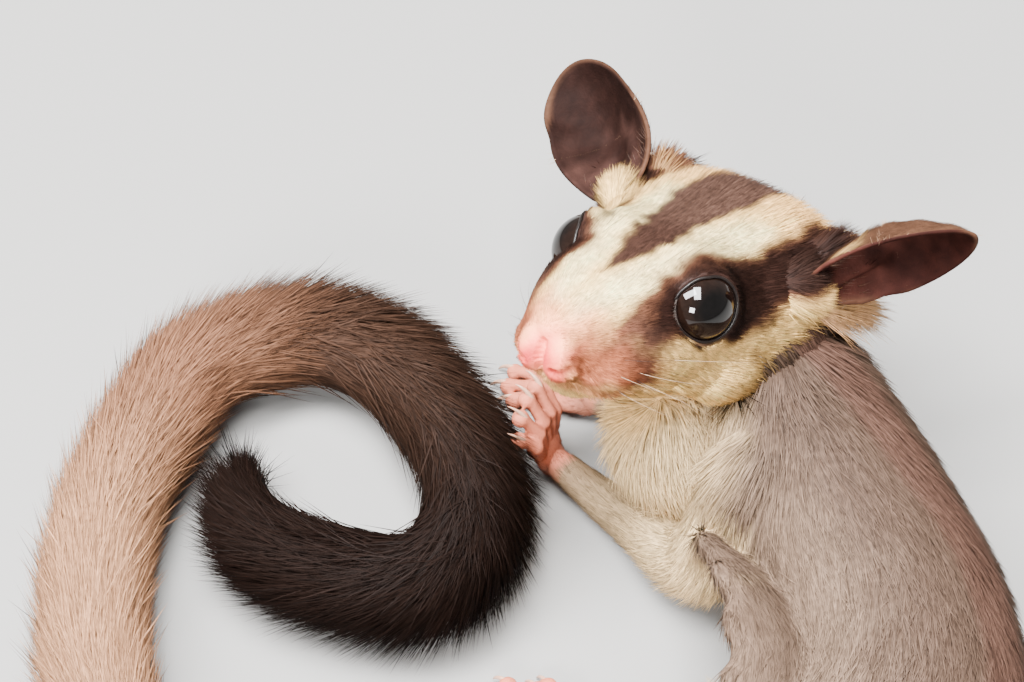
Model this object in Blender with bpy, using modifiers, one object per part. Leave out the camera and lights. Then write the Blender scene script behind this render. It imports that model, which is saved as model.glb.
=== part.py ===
# A sugar glider at rest, life size: curled on the floor with its head raised, its tail looped in front of
# its chest and its left hand against the tail. It faces -X and -Y, and +Z is up.
# Every point and size below is in millimetres and becomes metres where a mesh is made.

import math

import bmesh
import bpy
import numpy as np
from mathutils import Matrix, Vector

MM = 0.001
GAP = 0.3
FLOOR = 0.0

# Driving sizes of the animal
EYE_RADIUS = 4.1
TAIL_RADIUS = 8.7
CLAW_LENGTH = 2.6
CLAW_BEND, CLAW_RISE, CLAW_TAPER, CLAW_SIZE = 62.0, 0.25, 0.86, 0.52

# Frame of the head: x to the nose, y to the animal's left, z up, origin midway between the eyes
HEAD_AT = (0.0, 0.0, 36.0)
HEAD_YAW, HEAD_PITCH, HEAD_ROLL = -133.4, 29.6, 8.2

# Stations of the head from the nose back: x, half width, top, height of the widest line, bottom, squareness
HEAD_SECTIONS = (
    (17.2, 1.6, -0.8, -3.0, -5.4, 2.0),
    (15.8, 3.4, 0.9, -3.0, -6.8, 2.0),
    (13.5, 5.3, 2.4, -3.0, -8.2, 2.0),
    (10.5, 7.5, 4.2, -2.8, -9.4, 2.1),
    (7.0, 9.4, 5.6, -2.4, -10.3, 2.2),
    (3.0, 10.9, 6.9, -2.0, -10.8, 2.3),
    (-2.0, 12.3, 8.1, -1.6, -11.1, 2.3),
    (-7.0, 13.6, 9.3, -1.4, -11.2, 2.4),
    (-12.0, 14.8, 10.5, -1.2, -11.0, 2.7),
    (-17.0, 15.0, 11.3, -1.2, -10.4, 2.9),
    (-21.5, 14.0, 10.6, -1.4, -9.4, 2.8),
    (-25.5, 10.8, 7.0, -1.6, -8.0, 2.3),
)
NOSE_BULB = ((15.5, 1.6, -3.8), (2.1, 2.0, 2.9))
NOSE_BRIDGE = ((14.6, 0.0, -1.2), (2.9, 2.5, 2.0))
NOSTRIL = ((16.7, 2.75, -4.9), (1.7, 0.75, 0.6))
WHISKER_PAD = ((10.0, 4.0, -5.2), (4.6, 3.5, 3.2))
CHEEK = ((-4.0, 8.4, -5.6), (7.6, 5.6, 5.2))
CHIN = ((9.0, 0.0, -8.2), (4.6, 3.6, 2.2))
EYE_CENTRE = (1.0, 7.3, 2.1)
EYE_AXIS = (0.48, 0.82, 0.31)
# The flesh round the eye rises to a thin rim: along the axis, forward and up
ORBIT = {"sunk": 1.6, "radii": (3.8, 7.4, 6.4)}
LID_RADIUS, LID_THICKNESS, LID_OUT = 4.0, 0.55, 1.9

# Line of the mouth on the left side, from below the nose back to its corner
MOUTH_LINE = (
    (16.0, 0.0, -7.1),
    (13.6, 4.2, -7.4),
    (10.5, 7.2, -7.2),
    (7.4, 9.0, -6.9),
    (4.8, 9.9, -7.4),
)
NOSE_GROOVE = ((17.8, 0.0, -2.6), (17.4, 0.0, -5.0), (16.2, 0.0, -7.2))
GROOVE = 0.42

# Ears: root, tip and the way the cup opens, each in the frame of the head, by side
EAR_SHAPE = {"width": 12.6, "egg": 0.16, "cup": 4.2, "lean": 0.9, "wall": 0.9}
MIDDLE_OF_EAR = 0.5
EARS = {
    "l": {"root": (-12.0, 12.4, 4.6), "tip": (-18.0, 27.4, 14.6), "opens": (0.62, 0.42, -0.72)},
    "r": {"root": (-12.0, -12.4, 4.0), "tip": (-18.4, -28.9, 13.8), "opens": (0.94, 0.34, 0.0)},
}
EAR_ROOT = ((-12.2, 11.2, 3.8), (5.6, 4.4, 4.4))
BEHIND_EAR = ((-17.0, 11.5, 7.3), (4.5, 3.6, 3.0))

# Spine from inside the head to the root of the tail: point, half width, half height, and roll in degrees
# onto the right side
SPINE = (
    (4.5, 5.0, 30.0, 9.5, 9.5, 0),
    (8.5, 6.6, 25.5, 10.8, 10.4, 5),
    (13.0, 3.0, 21.0, 12.0, 11.8, 15),
    (18.0, -5.5, 17.8, 13.4, 13.6, 25),
    (23.0, -18.0, 15.4, 14.8, 14.9, 35),
    (26.2, -32.0, 15.2, 15.8, 15.6, 45),
    (24.0, -48.0, 16.2, 17.0, 16.6, 52),
    (13.0, -63.0, 17.2, 18.6, 17.6, 58),
    (-2.0, -71.0, 15.6, 16.6, 16.4, 55),
    (-15.0, -72.6, 12.4, 12.2, 12.4, 40),
    (-27.0, -70.0, 10.2, 9.2, 9.6, 20),
)
BREAST = ((6.6, -1.5, 13.6), (12.0, 11.0, 12.0))
# Where the trunk is parted: neck, chest, belly, rump
NECK_CUT, CHEST_CUT, BELLY_CUT = 3.2, 4.7, 6.2
HEAD_CUT = 1.55

# Tail from inside the rump to its tip: point and radius as a share of TAIL_RADIUS
TAIL = (
    (-20.0, -72.0, 11.4, 0.90),
    (-31.0, -68.5, 9.6, 0.90),
    (-42.0, -61.0, 8.4, 0.94),
    (-52.0, -48.0, 8.2, 1.00),
    (-58.4, -32.0, 8.2, 1.00),
    (-60.0, -15.0, 8.2, 1.00),
    (-57.2, -1.0, 8.2, 1.00),
    (-51.6, 10.8, 8.2, 1.00),
    (-41.5, 16.4, 8.2, 1.00),
    (-31.8, 14.6, 8.2, 1.00),
    (-24.2, 7.2, 8.2, 1.00),
    (-19.8, -1.4, 8.2, 1.00),
    (-19.2, -10.4, 8.2, 1.00),
    (-23.4, -16.6, 8.2, 1.00),
    (-32.0, -17.0, 8.2, 0.97),
    (-39.8, -13.8, 7.8, 0.88),
    (-44.0, -8.0, 6.8, 0.64),
    (-44.4, -4.4, 6.0, 0.38),
)
TAIL_START = 1.0
TAIL_CUTS = (4.0, 6.5, 9.0, 12.0)
# The coat of the tail: a core inside it, and rings of flat tapered locks that lie towards the tip
CORE_SHARE = 0.62
LOCK = {"length": 14.5, "width": 6.8, "thickness": 1.2, "sunk": 1.3}
LOCK_SPACING, LOCKS_AROUND, LOCK_DRIFT, LOCK_TILT = 10.6, 6, 0.1, 16.0
TIP_REACH = 5.5
# Share of a lock's length and of its width there
LOCK_OUTLINE = ((0.0, 0.5), (0.38, 1.0), (0.74, 0.72))
# The tail is parted along the lie of the locks: a cone that opens towards the tip, and how far it goes
PART_REACH, PART_SPREAD, PART_GAP = 1.3, 7.0, 0.6
SEED = 9
LINE_STEPS = 8

# Limbs: shoulder or hip, elbow or knee, wrist or ankle, with the radii there
LIMBS = {
    "arm_l": (
        (13.5, -12.0, 21.0, 7.2),
        (7.5, -15.0, 8.4, 5.2),
        (0.5, -8.0, 4.6, 3.4),
        (-9.2, 2.5, 3.5, 1.9),
    ),
    "arm_r": (
        (15.0, 0.0, 16.0, 7.0),
        (9.5, 4.0, 7.0, 5.0),
        (3.0, 8.4, 4.2, 3.2),
        (-4.8, 12.4, 2.8, 1.9),
    ),
    "leg_l": (
        (3.5, -66.0, 23.0, 10.0),
        (7.0, -47.5, 19.5, 7.6),
        (-3.5, -49.0, 9.6, 4.2),
        (-13.0, -53.0, 4.2, 2.4),
    ),
    "leg_r": (
        (8.0, -62.0, 10.0, 9.0),
        (5.6, -47.0, 7.4, 6.4),
        (1.0, -43.0, 4.6, 3.8),
        (-4.0, -39.0, 3.2, 2.3),
    ),
}
LIMB_CUT = 1.0

# Hands and feet: wrist or ankle, the way the digits point, the way the back of the hand faces
PAWS = {
    "hand_l": ((-9.4, 2.9, 3.0), (-0.26, 0.14, 1.0), (0.9, -0.35, 0.25)),
    "hand_r": ((-5.2, 12.6, 1.8), (-0.85, 0.52, -0.02), (0.05, 0.05, 1.0)),
    "foot_l": ((-13.0, -53.0, 3.15), (-0.62, 0.78, -0.08), (0.1, 0.1, 1.0)),
    "foot_r": ((-4.2, -38.8, 2.55), (-0.62, 0.78, -0.04), (0.1, 0.1, 1.0)),
}
# Digits, in the plane of the paw: side offset of the root, spread in degrees, length
HAND_DIGITS = ((-2.1, -26, 4.6), (-1.1, -12, 6.2), (0.0, 0, 6.8), (1.1, 12, 6.4), (2.0, 25, 5.0))
FOOT_DIGITS = ((-1.7, -8, 6.0), (-0.9, -3, 6.2), (0.5, 4, 8.6), (1.8, 12, 7.8))
THUMB = (-1.9, -62, 5.2)
HAND_SIZE = {"palm": 4.6, "half_width": 2.7, "half_height": 1.25, "digit": 0.86, "pad": 1.08}
FOOT_SIZE = {"palm": 9.4, "half_width": 2.9, "half_height": 1.5, "digit": 0.95, "pad": 1.2}

# Gliding membrane, folded along each flank: point, half width, half thickness, and the way its face looks
MEMBRANES = {
    "l": (
        (7.4, -15.0, 12.0, 2.6, 1.4, 120),
        (8.6, -21.0, 17.0, 4.6, 2.0, 128),
        (11.0, -30.0, 22.6, 5.6, 2.3, 138),
        (11.6, -40.0, 26.2, 5.6, 2.3, 145),
        (9.4, -49.0, 27.4, 4.6, 2.0, 145),
        (5.6, -56.0, 26.4, 2.6, 1.4, 145),
    ),
    "r": (
        (31.0, -8.0, 2.6, 3.0, 1.6, -12),
        (37.0, -18.0, 2.6, 4.6, 2.2, -12),
        (40.4, -32.0, 2.6, 5.2, 2.4, -12),
        (38.6, -48.0, 2.6, 5.2, 2.4, -12),
        (30.0, -66.0, 2.6, 5.0, 2.2, -12),
        (17.0, -77.0, 2.6, 3.6, 1.7, -12),
    ),
}
SCALLOP, SCALLOPS = 0.13, 6

# Finish of each kind of surface: base colour, roughness
FINISHES = {
    "fur_back": ((0.30, 0.20, 0.14), 0.9),
    "fur_face": ((0.80, 0.66, 0.46), 0.9),
    "fur_tail": ((0.20, 0.13, 0.09), 0.9),
    "skin": ((0.62, 0.34, 0.26), 0.6),
    "ear": ((0.20, 0.10, 0.07), 0.6),
    "eye": ((0.01, 0.008, 0.008), 0.05),
}

# How finely each group is shaped, in millimetres, and its triangles before it is parted
HEAD_VOXEL, BODY_VOXEL, PAW_VOXEL = 0.5, 0.9, 0.36
TRIANGLES = {"head": 1850, "trunk": 1200, "tail": 460, "limb": 160, "paw": 270, "membrane": 160}


def vector(values):
    return Vector(tuple(float(v) for v in values))


def head_axes():
    yaw, pitch, roll = (math.radians(a) for a in (HEAD_YAW, HEAD_PITCH, HEAD_ROLL))
    forward = Vector((math.cos(pitch) * math.cos(yaw), math.cos(pitch) * math.sin(yaw), math.sin(pitch)))
    level_left = Vector((-math.sin(yaw), math.cos(yaw), 0.0))
    level_up = forward.cross(level_left)
    left = level_left * math.cos(roll) + level_up * math.sin(roll)
    return forward, left, forward.cross(left)


def frame_from(forward, up, origin):
    """Matrix of a frame with x along forward and z as near to up as it can be."""
    x = vector(forward).normalized()
    y = vector(up).cross(x).normalized()
    z = x.cross(y)
    turned = Matrix((x, y, z)).transposed().to_4x4()
    return Matrix.Translation(vector(origin)) @ turned


def head_matrix():
    forward, _, up = head_axes()
    return frame_from(forward, up, HEAD_AT)


def mirrored(point, side):
    return (point[0], point[1] if side == "l" else -point[1], point[2])


def clear_scene():
    for obj in list(bpy.data.objects):
        bpy.data.objects.remove(obj)
    for mesh in list(bpy.data.meshes):
        bpy.data.meshes.remove(mesh)


def object_from(name, bm):
    """Makes a named object of a bmesh in millimetres."""
    bmesh.ops.recalc_face_normals(bm, faces=bm.faces)
    bmesh.ops.scale(bm, vec=(MM, MM, MM), verts=bm.verts)
    mesh = bpy.data.meshes.new(name)
    bm.to_mesh(mesh)
    bm.free()
    obj = bpy.data.objects.new(name, mesh)
    bpy.context.scene.collection.objects.link(obj)
    return obj


def with_modifiers(obj):
    """Replaces the object's mesh by what its modifiers make of it."""
    bpy.context.view_layer.update()
    graph = bpy.context.evaluated_depsgraph_get()
    made = bpy.data.meshes.new_from_object(obj.evaluated_get(graph), depsgraph=graph)
    old = obj.data
    obj.modifiers.clear()
    obj.data = made
    bpy.data.meshes.remove(old)
    return obj


def flow(rows, steps):
    """Smooth rows of numbers through the given ones, steps to each span, by Catmull-Rom."""
    rows = np.array(rows, float)
    ends = np.vstack([2 * rows[0] - rows[1], rows, 2 * rows[-1] - rows[-2]])
    made = []
    for i in range(1, len(ends) - 2):
        a, b, c, d = ends[i - 1 : i + 3]
        for k in range(steps):
            t = k / steps
            bend = (2 * a - 5 * b + 4 * c - d) * t**2 + (3 * b - a - 3 * c + d) * t**3
            made.append(0.5 * (2 * b + (c - a) * t + bend))
    made.append(rows[-1])
    return np.array(made)


def at_station(rows, station):
    """The row of numbers at a station, which counts the rows from 0, and the way the line runs there."""
    fine = 16
    dense = flow(rows, fine)
    i = min(max(int(round(station * fine)), 1), len(dense) - 2)
    return dense[i], vector(dense[i + 1][:3] - dense[i - 1][:3]).normalized()


def loft(name, rings, tip=None):
    """Closed surface through rings of equal length, with a fan at each end, the last one to any tip."""
    bm = bmesh.new()
    rows = [[bm.verts.new(p) for p in ring] for ring in rings]
    for low, high in zip(rows, rows[1:]):
        for i in range(len(low)):
            j = (i + 1) % len(low)
            bm.faces.new((low[i], low[j], high[j], high[i]))
    for row in (rows[0], rows[-1]):
        middle = sum((v.co for v in row), Vector()) / len(row)
        centre = bm.verts.new(tip if tip and row is rows[-1] else middle)
        for i in range(len(row)):
            bm.faces.new((row[i], row[(i + 1) % len(row)], centre))
    return object_from(name, bm)


def tube(name, rows, sides=20, steps=4, scallop=0.0, round_ends=True):
    """A body of elliptical sections. Each row is a point, a half width, a half height and a roll."""
    end_shares = (0.35, 0.75) if round_ends else ()
    dense = flow(rows, steps)
    tangents = [
        vector(dense[min(i + 1, len(dense) - 1)][:3] - dense[max(i - 1, 0)][:3]).normalized()
        for i in range(len(dense))
    ]
    rings = []

    def ring(row, along, shift, share):
        point = vector(row[:3]) + along * shift
        side = along.cross(Vector((0, 0, 1)))
        side = side.normalized() if side.length > 0.2 else along.cross(Vector((0, 1, 0))).normalized()
        up = side.cross(along)
        roll = math.radians(row[5])
        side, up = side * math.cos(roll) - up * math.sin(roll), up * math.cos(roll) + side * math.sin(roll)
        turn = 2 * math.pi / sides
        return [
            point + side * (row[3] * share * math.cos(i * turn)) + up * (row[4] * share * math.sin(i * turn))
            for i in range(sides)
        ]

    for share in end_shares:
        rings.append(ring(dense[0], tangents[0], -dense[0][4] * math.sqrt(1 - share**2) * 0.8, share))
    for i, (row, along) in enumerate(zip(dense, tangents)):
        row = row.copy()
        row[3] *= 1.0 + scallop * math.sin(2 * math.pi * SCALLOPS * i / len(dense))
        rings.append(ring(row, along, 0.0, 1.0))
    for share in end_shares[::-1]:
        rings.append(ring(dense[-1], tangents[-1], dense[-1][4] * math.sqrt(1 - share**2) * 0.8, share))
    return loft(name, rings)


def ball(name, centre, radii, matrix=None, segments=16):
    """An ellipsoid in a frame."""
    bm = bmesh.new()
    bmesh.ops.create_uvsphere(bm, u_segments=segments, v_segments=max(6, segments * 2 // 3), radius=1.0)
    place = Matrix.Translation(vector(centre)) @ Matrix.Diagonal((*radii, 1.0))
    bmesh.ops.transform(bm, matrix=(matrix or Matrix()) @ place, verts=bm.verts)
    return object_from(name, bm)


def disc(name, centre, axis, radius, thickness=GAP):
    """A thin round cutter across a line."""
    bm = bmesh.new()
    bmesh.ops.create_cone(
        bm, cap_ends=True, segments=32, radius1=radius, radius2=radius, depth=thickness
    )
    turn = vector(axis).to_track_quat("Z", "Y").to_matrix().to_4x4()
    bmesh.ops.transform(bm, matrix=Matrix.Translation(vector(centre)) @ turn, verts=bm.verts)
    return object_from(name, bm)


def join(name, pieces):
    """One object of several, each still its own shell."""
    bm = bmesh.new()
    for piece in pieces:
        bm.from_mesh(piece.data)
        bpy.data.objects.remove(piece)
    mesh = bpy.data.meshes.new(name)
    bm.to_mesh(mesh)
    bm.free()
    obj = bpy.data.objects.new(name, mesh)
    bpy.context.scene.collection.objects.link(obj)
    return obj


def blend(name, pieces, voxel, triangles, smoothing=6):
    """One smooth closed body of overlapping pieces, with about so many triangles if that is given."""
    obj = join(name, pieces)
    remesh = obj.modifiers.new("Remesh", "REMESH")
    remesh.mode = "VOXEL"
    remesh.voxel_size = voxel * MM
    smooth = obj.modifiers.new("Smooth", "SMOOTH")
    smooth.factor = 0.5
    smooth.iterations = smoothing
    with_modifiers(obj)
    faces = 2 * len(obj.data.polygons)
    if triangles and faces > triangles:
        decimate = obj.modifiers.new("Decimate", "DECIMATE")
        decimate.ratio = triangles / faces
        decimate.use_collapse_triangulate = True
        with_modifiers(obj)
    return obj


def copy_of(obj, grown=0.0):
    """A copy, grown along its normals by so many millimetres."""
    made = bpy.data.objects.new(obj.name + "_copy", obj.data.copy())
    bpy.context.scene.collection.objects.link(made)
    if grown:
        displace = made.modifiers.new("Displace", "DISPLACE")
        displace.strength = grown * MM
        displace.mid_level = 0.0
        with_modifiers(made)
    return made


def boolean(obj, other, operation="DIFFERENCE", keep_other=False):
    """Applies a Boolean. The remeshed bodies are dense, which the exact solver is slow on."""
    modifier = obj.modifiers.new("Boolean", "BOOLEAN")
    modifier.object = other
    modifier.operation = operation
    modifier.solver = "MANIFOLD"
    with_modifiers(obj)
    if not keep_other:
        bpy.data.objects.remove(other)
    return obj


def shells(obj):
    """The separate closed bodies of an object, each as a new object, the largest first."""
    bm = bmesh.new()
    bm.from_mesh(obj.data)
    bm.faces.ensure_lookup_table()
    left = set(bm.faces)
    groups = []
    while left:
        stack = [left.pop()]
        group = []
        while stack:
            face = stack.pop()
            group.append(face.index)
            for edge in face.edges:
                for other in edge.link_faces:
                    if other in left:
                        left.remove(other)
                        stack.append(other)
        groups.append(set(group))
    bm.free()
    made = []
    for number, group in enumerate(groups):
        bm = bmesh.new()
        bm.from_mesh(obj.data)
        bm.faces.ensure_lookup_table()
        drop = [f for f in bm.faces if f.index not in group]
        bmesh.ops.delete(bm, geom=drop, context="FACES")
        volume = abs(bm.calc_volume())
        mesh = bpy.data.meshes.new(f"{obj.name}_shell_{number}")
        bm.to_mesh(mesh)
        bm.free()
        piece = bpy.data.objects.new(mesh.name, mesh)
        bpy.context.scene.collection.objects.link(piece)
        made.append((volume, piece))
    bpy.data.objects.remove(obj)
    made.sort(key=lambda pair: -pair[0])
    return [piece for _, piece in made]


def largest(obj):
    """Keeps only the object's largest closed surface."""
    name = obj.name
    first, *rest = shells(obj)
    for piece in rest:
        bpy.data.objects.remove(piece)
    first.name = name
    return first


def clear_of(obj, *others):
    """Cuts the object back to a gap from what it grows from or lies against."""
    for other in others:
        boolean(obj, copy_of(other, GAP))
    return largest(obj)


def flat_under(obj):
    """Cuts off what would reach below the floor, which leaves the flat that the part rests on."""
    side = 400.0
    bm = bmesh.new()
    bmesh.ops.create_cube(bm, size=side)
    bmesh.ops.translate(bm, vec=(0, 0, FLOOR - side / 2), verts=bm.verts)
    return boolean(obj, object_from("floor_cutter", bm))


def centre_of(obj):
    total = sum((v.co for v in obj.data.vertices), Vector())
    return total / len(obj.data.vertices) / MM


def parted(obj, names, rows, cutters):
    """Parts a bent body with thin cutters across its line, and names the lengths from its start."""
    for cutter in cutters:
        boolean(obj, cutter)
    pieces = shells(obj)
    for scrap in pieces[len(names) :]:
        bpy.data.objects.remove(scrap)
    pieces = pieces[: len(names)]
    line = flow(rows, 16)[:, :3]

    def place(piece):
        return int(np.argmin(np.linalg.norm(line - np.array(centre_of(piece)), axis=1)))

    for piece, name in zip(sorted(pieces, key=place), names):
        piece.name = name
        piece.data.name = name
    return sorted(pieces, key=place)


def discs(rows, stations, reach):
    """Thin round cutters across a line."""
    made = []
    for station in stations:
        row, along = at_station(rows, station)
        made.append(disc("cut", row[:3], along, reach))
    return made


def head_body():
    """The head with its muzzle, cheeks, lids and the start of the neck."""
    place = head_matrix()
    sides = 32
    rings = []
    for x, half_width, top, widest, bottom, square in flow(HEAD_SECTIONS, 3):
        ring = []
        for i in range(sides):
            turn = 2 * math.pi * i / sides
            across, rise = math.cos(turn), math.sin(turn)
            reach = top - widest if rise > 0 else widest - bottom
            across = math.copysign(abs(across) ** (2 / square), across)
            rise = math.copysign(abs(rise) ** (2 / square), rise)
            ring.append(place @ Vector((x, half_width * across, widest + reach * rise)))
        rings.append(ring)
    broad = [loft("skull", rings), ball("chin", *CHIN, place), tube("neck_start", SPINE[:4])]
    fine = [ball("bridge", *NOSE_BRIDGE, place)]
    for side in ("l", "r"):
        for centre, radii in (WHISKER_PAD, CHEEK, EAR_ROOT, BEHIND_EAR):
            broad.append(ball("swelling", mirrored(centre, side), radii, place))
        axis = vector(mirrored(EYE_AXIS, side)).normalized()
        centre = vector(mirrored(EYE_CENTRE, side)) - axis * ORBIT["sunk"]
        socket = place @ frame_from(axis, (0, 0, 1), centre)
        broad.append(ball("orbit", (0, 0, 0), ORBIT["radii"], socket, segments=24))
        fine.append(ball("nose", mirrored(NOSE_BULB[0], side), NOSE_BULB[1], place))
        fine.append(lid_ring(side, place))
    flesh = blend("flesh", broad, HEAD_VOXEL, None, smoothing=14)
    return blend("head", [flesh] + fine, HEAD_VOXEL, TRIANGLES["head"], smoothing=3)


def lid_ring(side, place):
    """The rim of the eyelids, a thin ring round the eye."""
    axis = vector(mirrored(EYE_AXIS, side)).normalized()
    centre = vector(mirrored(EYE_CENTRE, side)) + axis * LID_OUT
    frame = frame_from(axis, (0, 0, 1), centre)
    steps, sides = 28, 8
    bm = bmesh.new()
    rows = []
    for i in range(steps):
        turn = 2 * math.pi * i / steps
        out = frame @ Vector((0, math.cos(turn), math.sin(turn))) - centre
        row = []
        for k in range(sides):
            round_rim = 2 * math.pi * k / sides
            point = centre + out * (LID_RADIUS + LID_THICKNESS * math.cos(round_rim))
            row.append(bm.verts.new(place @ (point + axis * (LID_THICKNESS * math.sin(round_rim)))))
        rows.append(row)
    for low, high in zip(rows, rows[1:] + rows[:1]):
        for i in range(sides):
            j = (i + 1) % sides
            bm.faces.new((low[i], low[j], high[j], high[i]))
    return object_from("lid", bm)


def eye(side):
    place = head_matrix()
    return ball("eye_" + side, mirrored(EYE_CENTRE, side), (EYE_RADIUS,) * 3, place, segments=16)


def groove_cutter(head, line):
    """A thin round groove that follows the surface of the head."""
    place = head_matrix()
    rows = []
    for point in flow(line, 3):
        _, on_skin, _, _ = head.closest_point_on_mesh(place @ vector(point) * MM)
        rows.append((*(on_skin / MM), GROOVE, GROOVE, 0))
    return tube("groove", rows, sides=8, steps=1)


def ear(side):
    """A cupped leaf with its root sunk in the head, thickened outwards."""
    place = head_matrix()
    spec = EARS[side]
    root, tip = vector(spec["root"]), vector(spec["tip"])
    along = (tip - root).normalized()
    opens = vector(spec["opens"])
    opens = (opens - along * opens.dot(along)).normalized()
    across = along.cross(opens)
    length = (tip - root).length
    rings, turns = 5, 20
    middle = root + along * (MIDDLE_OF_EAR * length)
    bm = bmesh.new()
    centre = bm.verts.new(place @ (middle - opens * EAR_SHAPE["cup"]))
    rows = []
    for i in range(1, rings + 1):
        share = i / rings
        row = []
        for k in range(turns):
            turn = 2 * math.pi * k / turns
            reach = (1 - MIDDLE_OF_EAR if math.cos(turn) > 0 else MIDDLE_OF_EAR) * length
            width = 0.5 * EAR_SHAPE["width"] * (1.0 - EAR_SHAPE["egg"] * math.cos(turn))
            depth = EAR_SHAPE["cup"] * (1 - share**2) + EAR_SHAPE["lean"] * share * math.cos(turn)
            point = (
                middle
                + along * (reach * share * math.cos(turn))
                + across * (width * share * math.sin(turn))
                - opens * depth
            )
            row.append(bm.verts.new(place @ point))
        rows.append(row)
    for k in range(turns):
        bm.faces.new((centre, rows[0][k], rows[0][(k + 1) % turns]))
    for low, high in zip(rows, rows[1:]):
        for k in range(turns):
            j = (k + 1) % turns
            bm.faces.new((low[k], high[k], high[j], low[j]))
    obj = object_from("ear_" + side, bm)
    solid = obj.modifiers.new("Solidify", "SOLIDIFY")
    solid.thickness = EAR_SHAPE["wall"] * MM
    solid.offset = 0.0
    solid.use_rim = True
    return with_modifiers(obj)


def digit_line(size, offset, spread, length):
    """Points of a digit in the frame of the paw, x along the digits and z to the back of the hand."""
    angle = math.radians(spread)
    ahead = Vector((math.cos(angle), math.sin(angle), 0.0))
    root = Vector((size["palm"] * 0.72, offset, 0.0))
    knuckle = root + ahead * (0.45 * length) + Vector((0, 0, 0.55))
    tip = root + ahead * length + Vector((0, 0, -0.25))
    return root, knuckle, tip, ahead


def claw(name, place, tip, ahead, size):
    """A curved claw of few sides that points on from the tip of a digit and down."""
    bend = math.radians(CLAW_BEND)
    radius = CLAW_LENGTH / bend
    rows = []
    for share in (0.0, 0.4, 0.75, 1.0):
        drop = Vector((0, 0, radius * (1 - math.cos(bend * share)) - CLAW_RISE))
        point = tip + ahead * (radius * math.sin(bend * share)) - drop
        thick = size * (1.0 - CLAW_TAPER * share)
        rows.append((*(place @ point), thick, thick, 0))
    return tube(name, rows, sides=5, steps=1, round_ends=False)


def paw(name):
    """A hand or a foot with its digits and claws. A foot has a large clawless thumb."""
    at, ahead, back = PAWS[name]
    place = frame_from(ahead, back, at)
    is_foot = name.startswith("foot")
    size = FOOT_SIZE if is_foot else HAND_SIZE
    flip = 1.0 if name.endswith("_l") else -1.0
    digits = FOOT_DIGITS if is_foot else HAND_DIGITS
    middle = size["palm"] * 0.42
    pieces = [
        ball("palm", (middle, 0, 0), (size["palm"] * 0.62, size["half_width"], size["half_height"]), place),
        ball("wrist", (0.2, 0, 0.1), (2.2, 2.1, 1.7), place),
    ]
    tips = []
    for offset, spread, length in digits + ((THUMB,) if is_foot else ()):
        root, knuckle, tip, forward = digit_line(size, -offset * flip, -spread * flip, length)
        if (offset, spread, length) == THUMB:
            shift = Vector((-0.42 * size["palm"], 0, 0))
            root, knuckle, tip = root + shift, knuckle + shift, tip + shift
        else:
            tips.append((tip, forward))
        radius = size["digit"]
        rows = [
            (*(place @ root), radius * 1.15, radius * 1.15, 0),
            (*(place @ knuckle), radius * 1.05, radius * 1.05, 0),
            (*(place @ tip), radius * 0.9, radius * 0.9, 0),
        ]
        pieces.append(tube("digit", rows, sides=10, steps=3))
        pieces.append(ball("pad", tip + Vector((-0.2, 0, -0.25)), (size["pad"],) * 3, place, segments=10))
    obj = blend(name, pieces, PAW_VOXEL, TRIANGLES["paw"], smoothing=3)
    for tip, forward in tips:
        boolean(obj, claw("claw", place, tip, forward, CLAW_SIZE), "UNION")
    return largest(obj)


def limb(name):
    rows = [(*row[:3], row[3], row[3], 0) for row in LIMBS[name]]
    return blend(name, [tube(name, rows, sides=16)], BODY_VOXEL * 0.7, TRIANGLES["limb"], smoothing=3)


def membrane(side):
    return blend(
        "membrane_" + side,
        [tube("fold", MEMBRANES[side], sides=16, steps=6, scallop=SCALLOP)],
        BODY_VOXEL * 0.6,
        TRIANGLES["membrane"],
        smoothing=2,
    )


def tail_rows(share_of_coat=1.0):
    """The tail's line, with its radius to the tips of the coat or a share of that."""
    return [(*row[:3], *(TAIL_RADIUS * share_of_coat * row[3],) * 2, 0) for row in TAIL]


def tail_place(line, distance):
    """Point, radius and directions of the tail at a distance along its line, which may pass its end."""
    run, rows = line
    inside = min(max(distance, 0.5), run[-1] - 0.5)

    def row_at(d):
        return np.array([np.interp(d, run, rows[:, k]) for k in range(4)])

    before, here, after = (row_at(inside + step) for step in (-0.5, 0.0, 0.5))
    along = vector(after[:3] - before[:3]).normalized()
    side = along.cross(Vector((0, 0, 1))).normalized()
    return vector(here[:3]) + along * (distance - inside), here[3], along, side, side.cross(along)


def lock(line, start, turn, size, drift):
    """A flat tapered strand that bends with the tail, from inside the core out to the coat's tips.

    It is tilted about its length, so that its edge lies over its neighbour's, as tiles do."""
    tilt = math.radians(LOCK_TILT)

    def ring(share, width):
        point, radius, along, side, up = tail_place(line, start + LOCK["length"] * size * share)
        angle = turn + drift * share
        out = side * math.cos(angle) + up * math.sin(angle)
        across = along.cross(out)
        root = radius * CORE_SHARE - LOCK["sunk"]
        tips = radius - 0.2 * LOCK["thickness"]
        middle = point + out * (root + (tips - root) * share**0.8)
        wide = (across * math.cos(tilt) + out * math.sin(tilt)) * (0.5 * LOCK["width"] * width)
        wide *= radius / TAIL_RADIUS
        return middle, [middle + wide, middle + out * (LOCK["thickness"] * (1 - 0.5 * share)), middle - wide]

    rings = [ring(*outline)[1] for outline in LOCK_OUTLINE]
    return loft("lock", rings, tip=ring(1.0, 0.0)[0])


def tail_line():
    """The tail's line as distances along it and rows of point and radius."""
    rows = flow(tail_rows(), LINE_STEPS)[:, :4]
    steps = np.linalg.norm(np.diff(rows[:, :3], axis=0), axis=1)
    return np.concatenate([[0.0], np.cumsum(steps)]), rows


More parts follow.
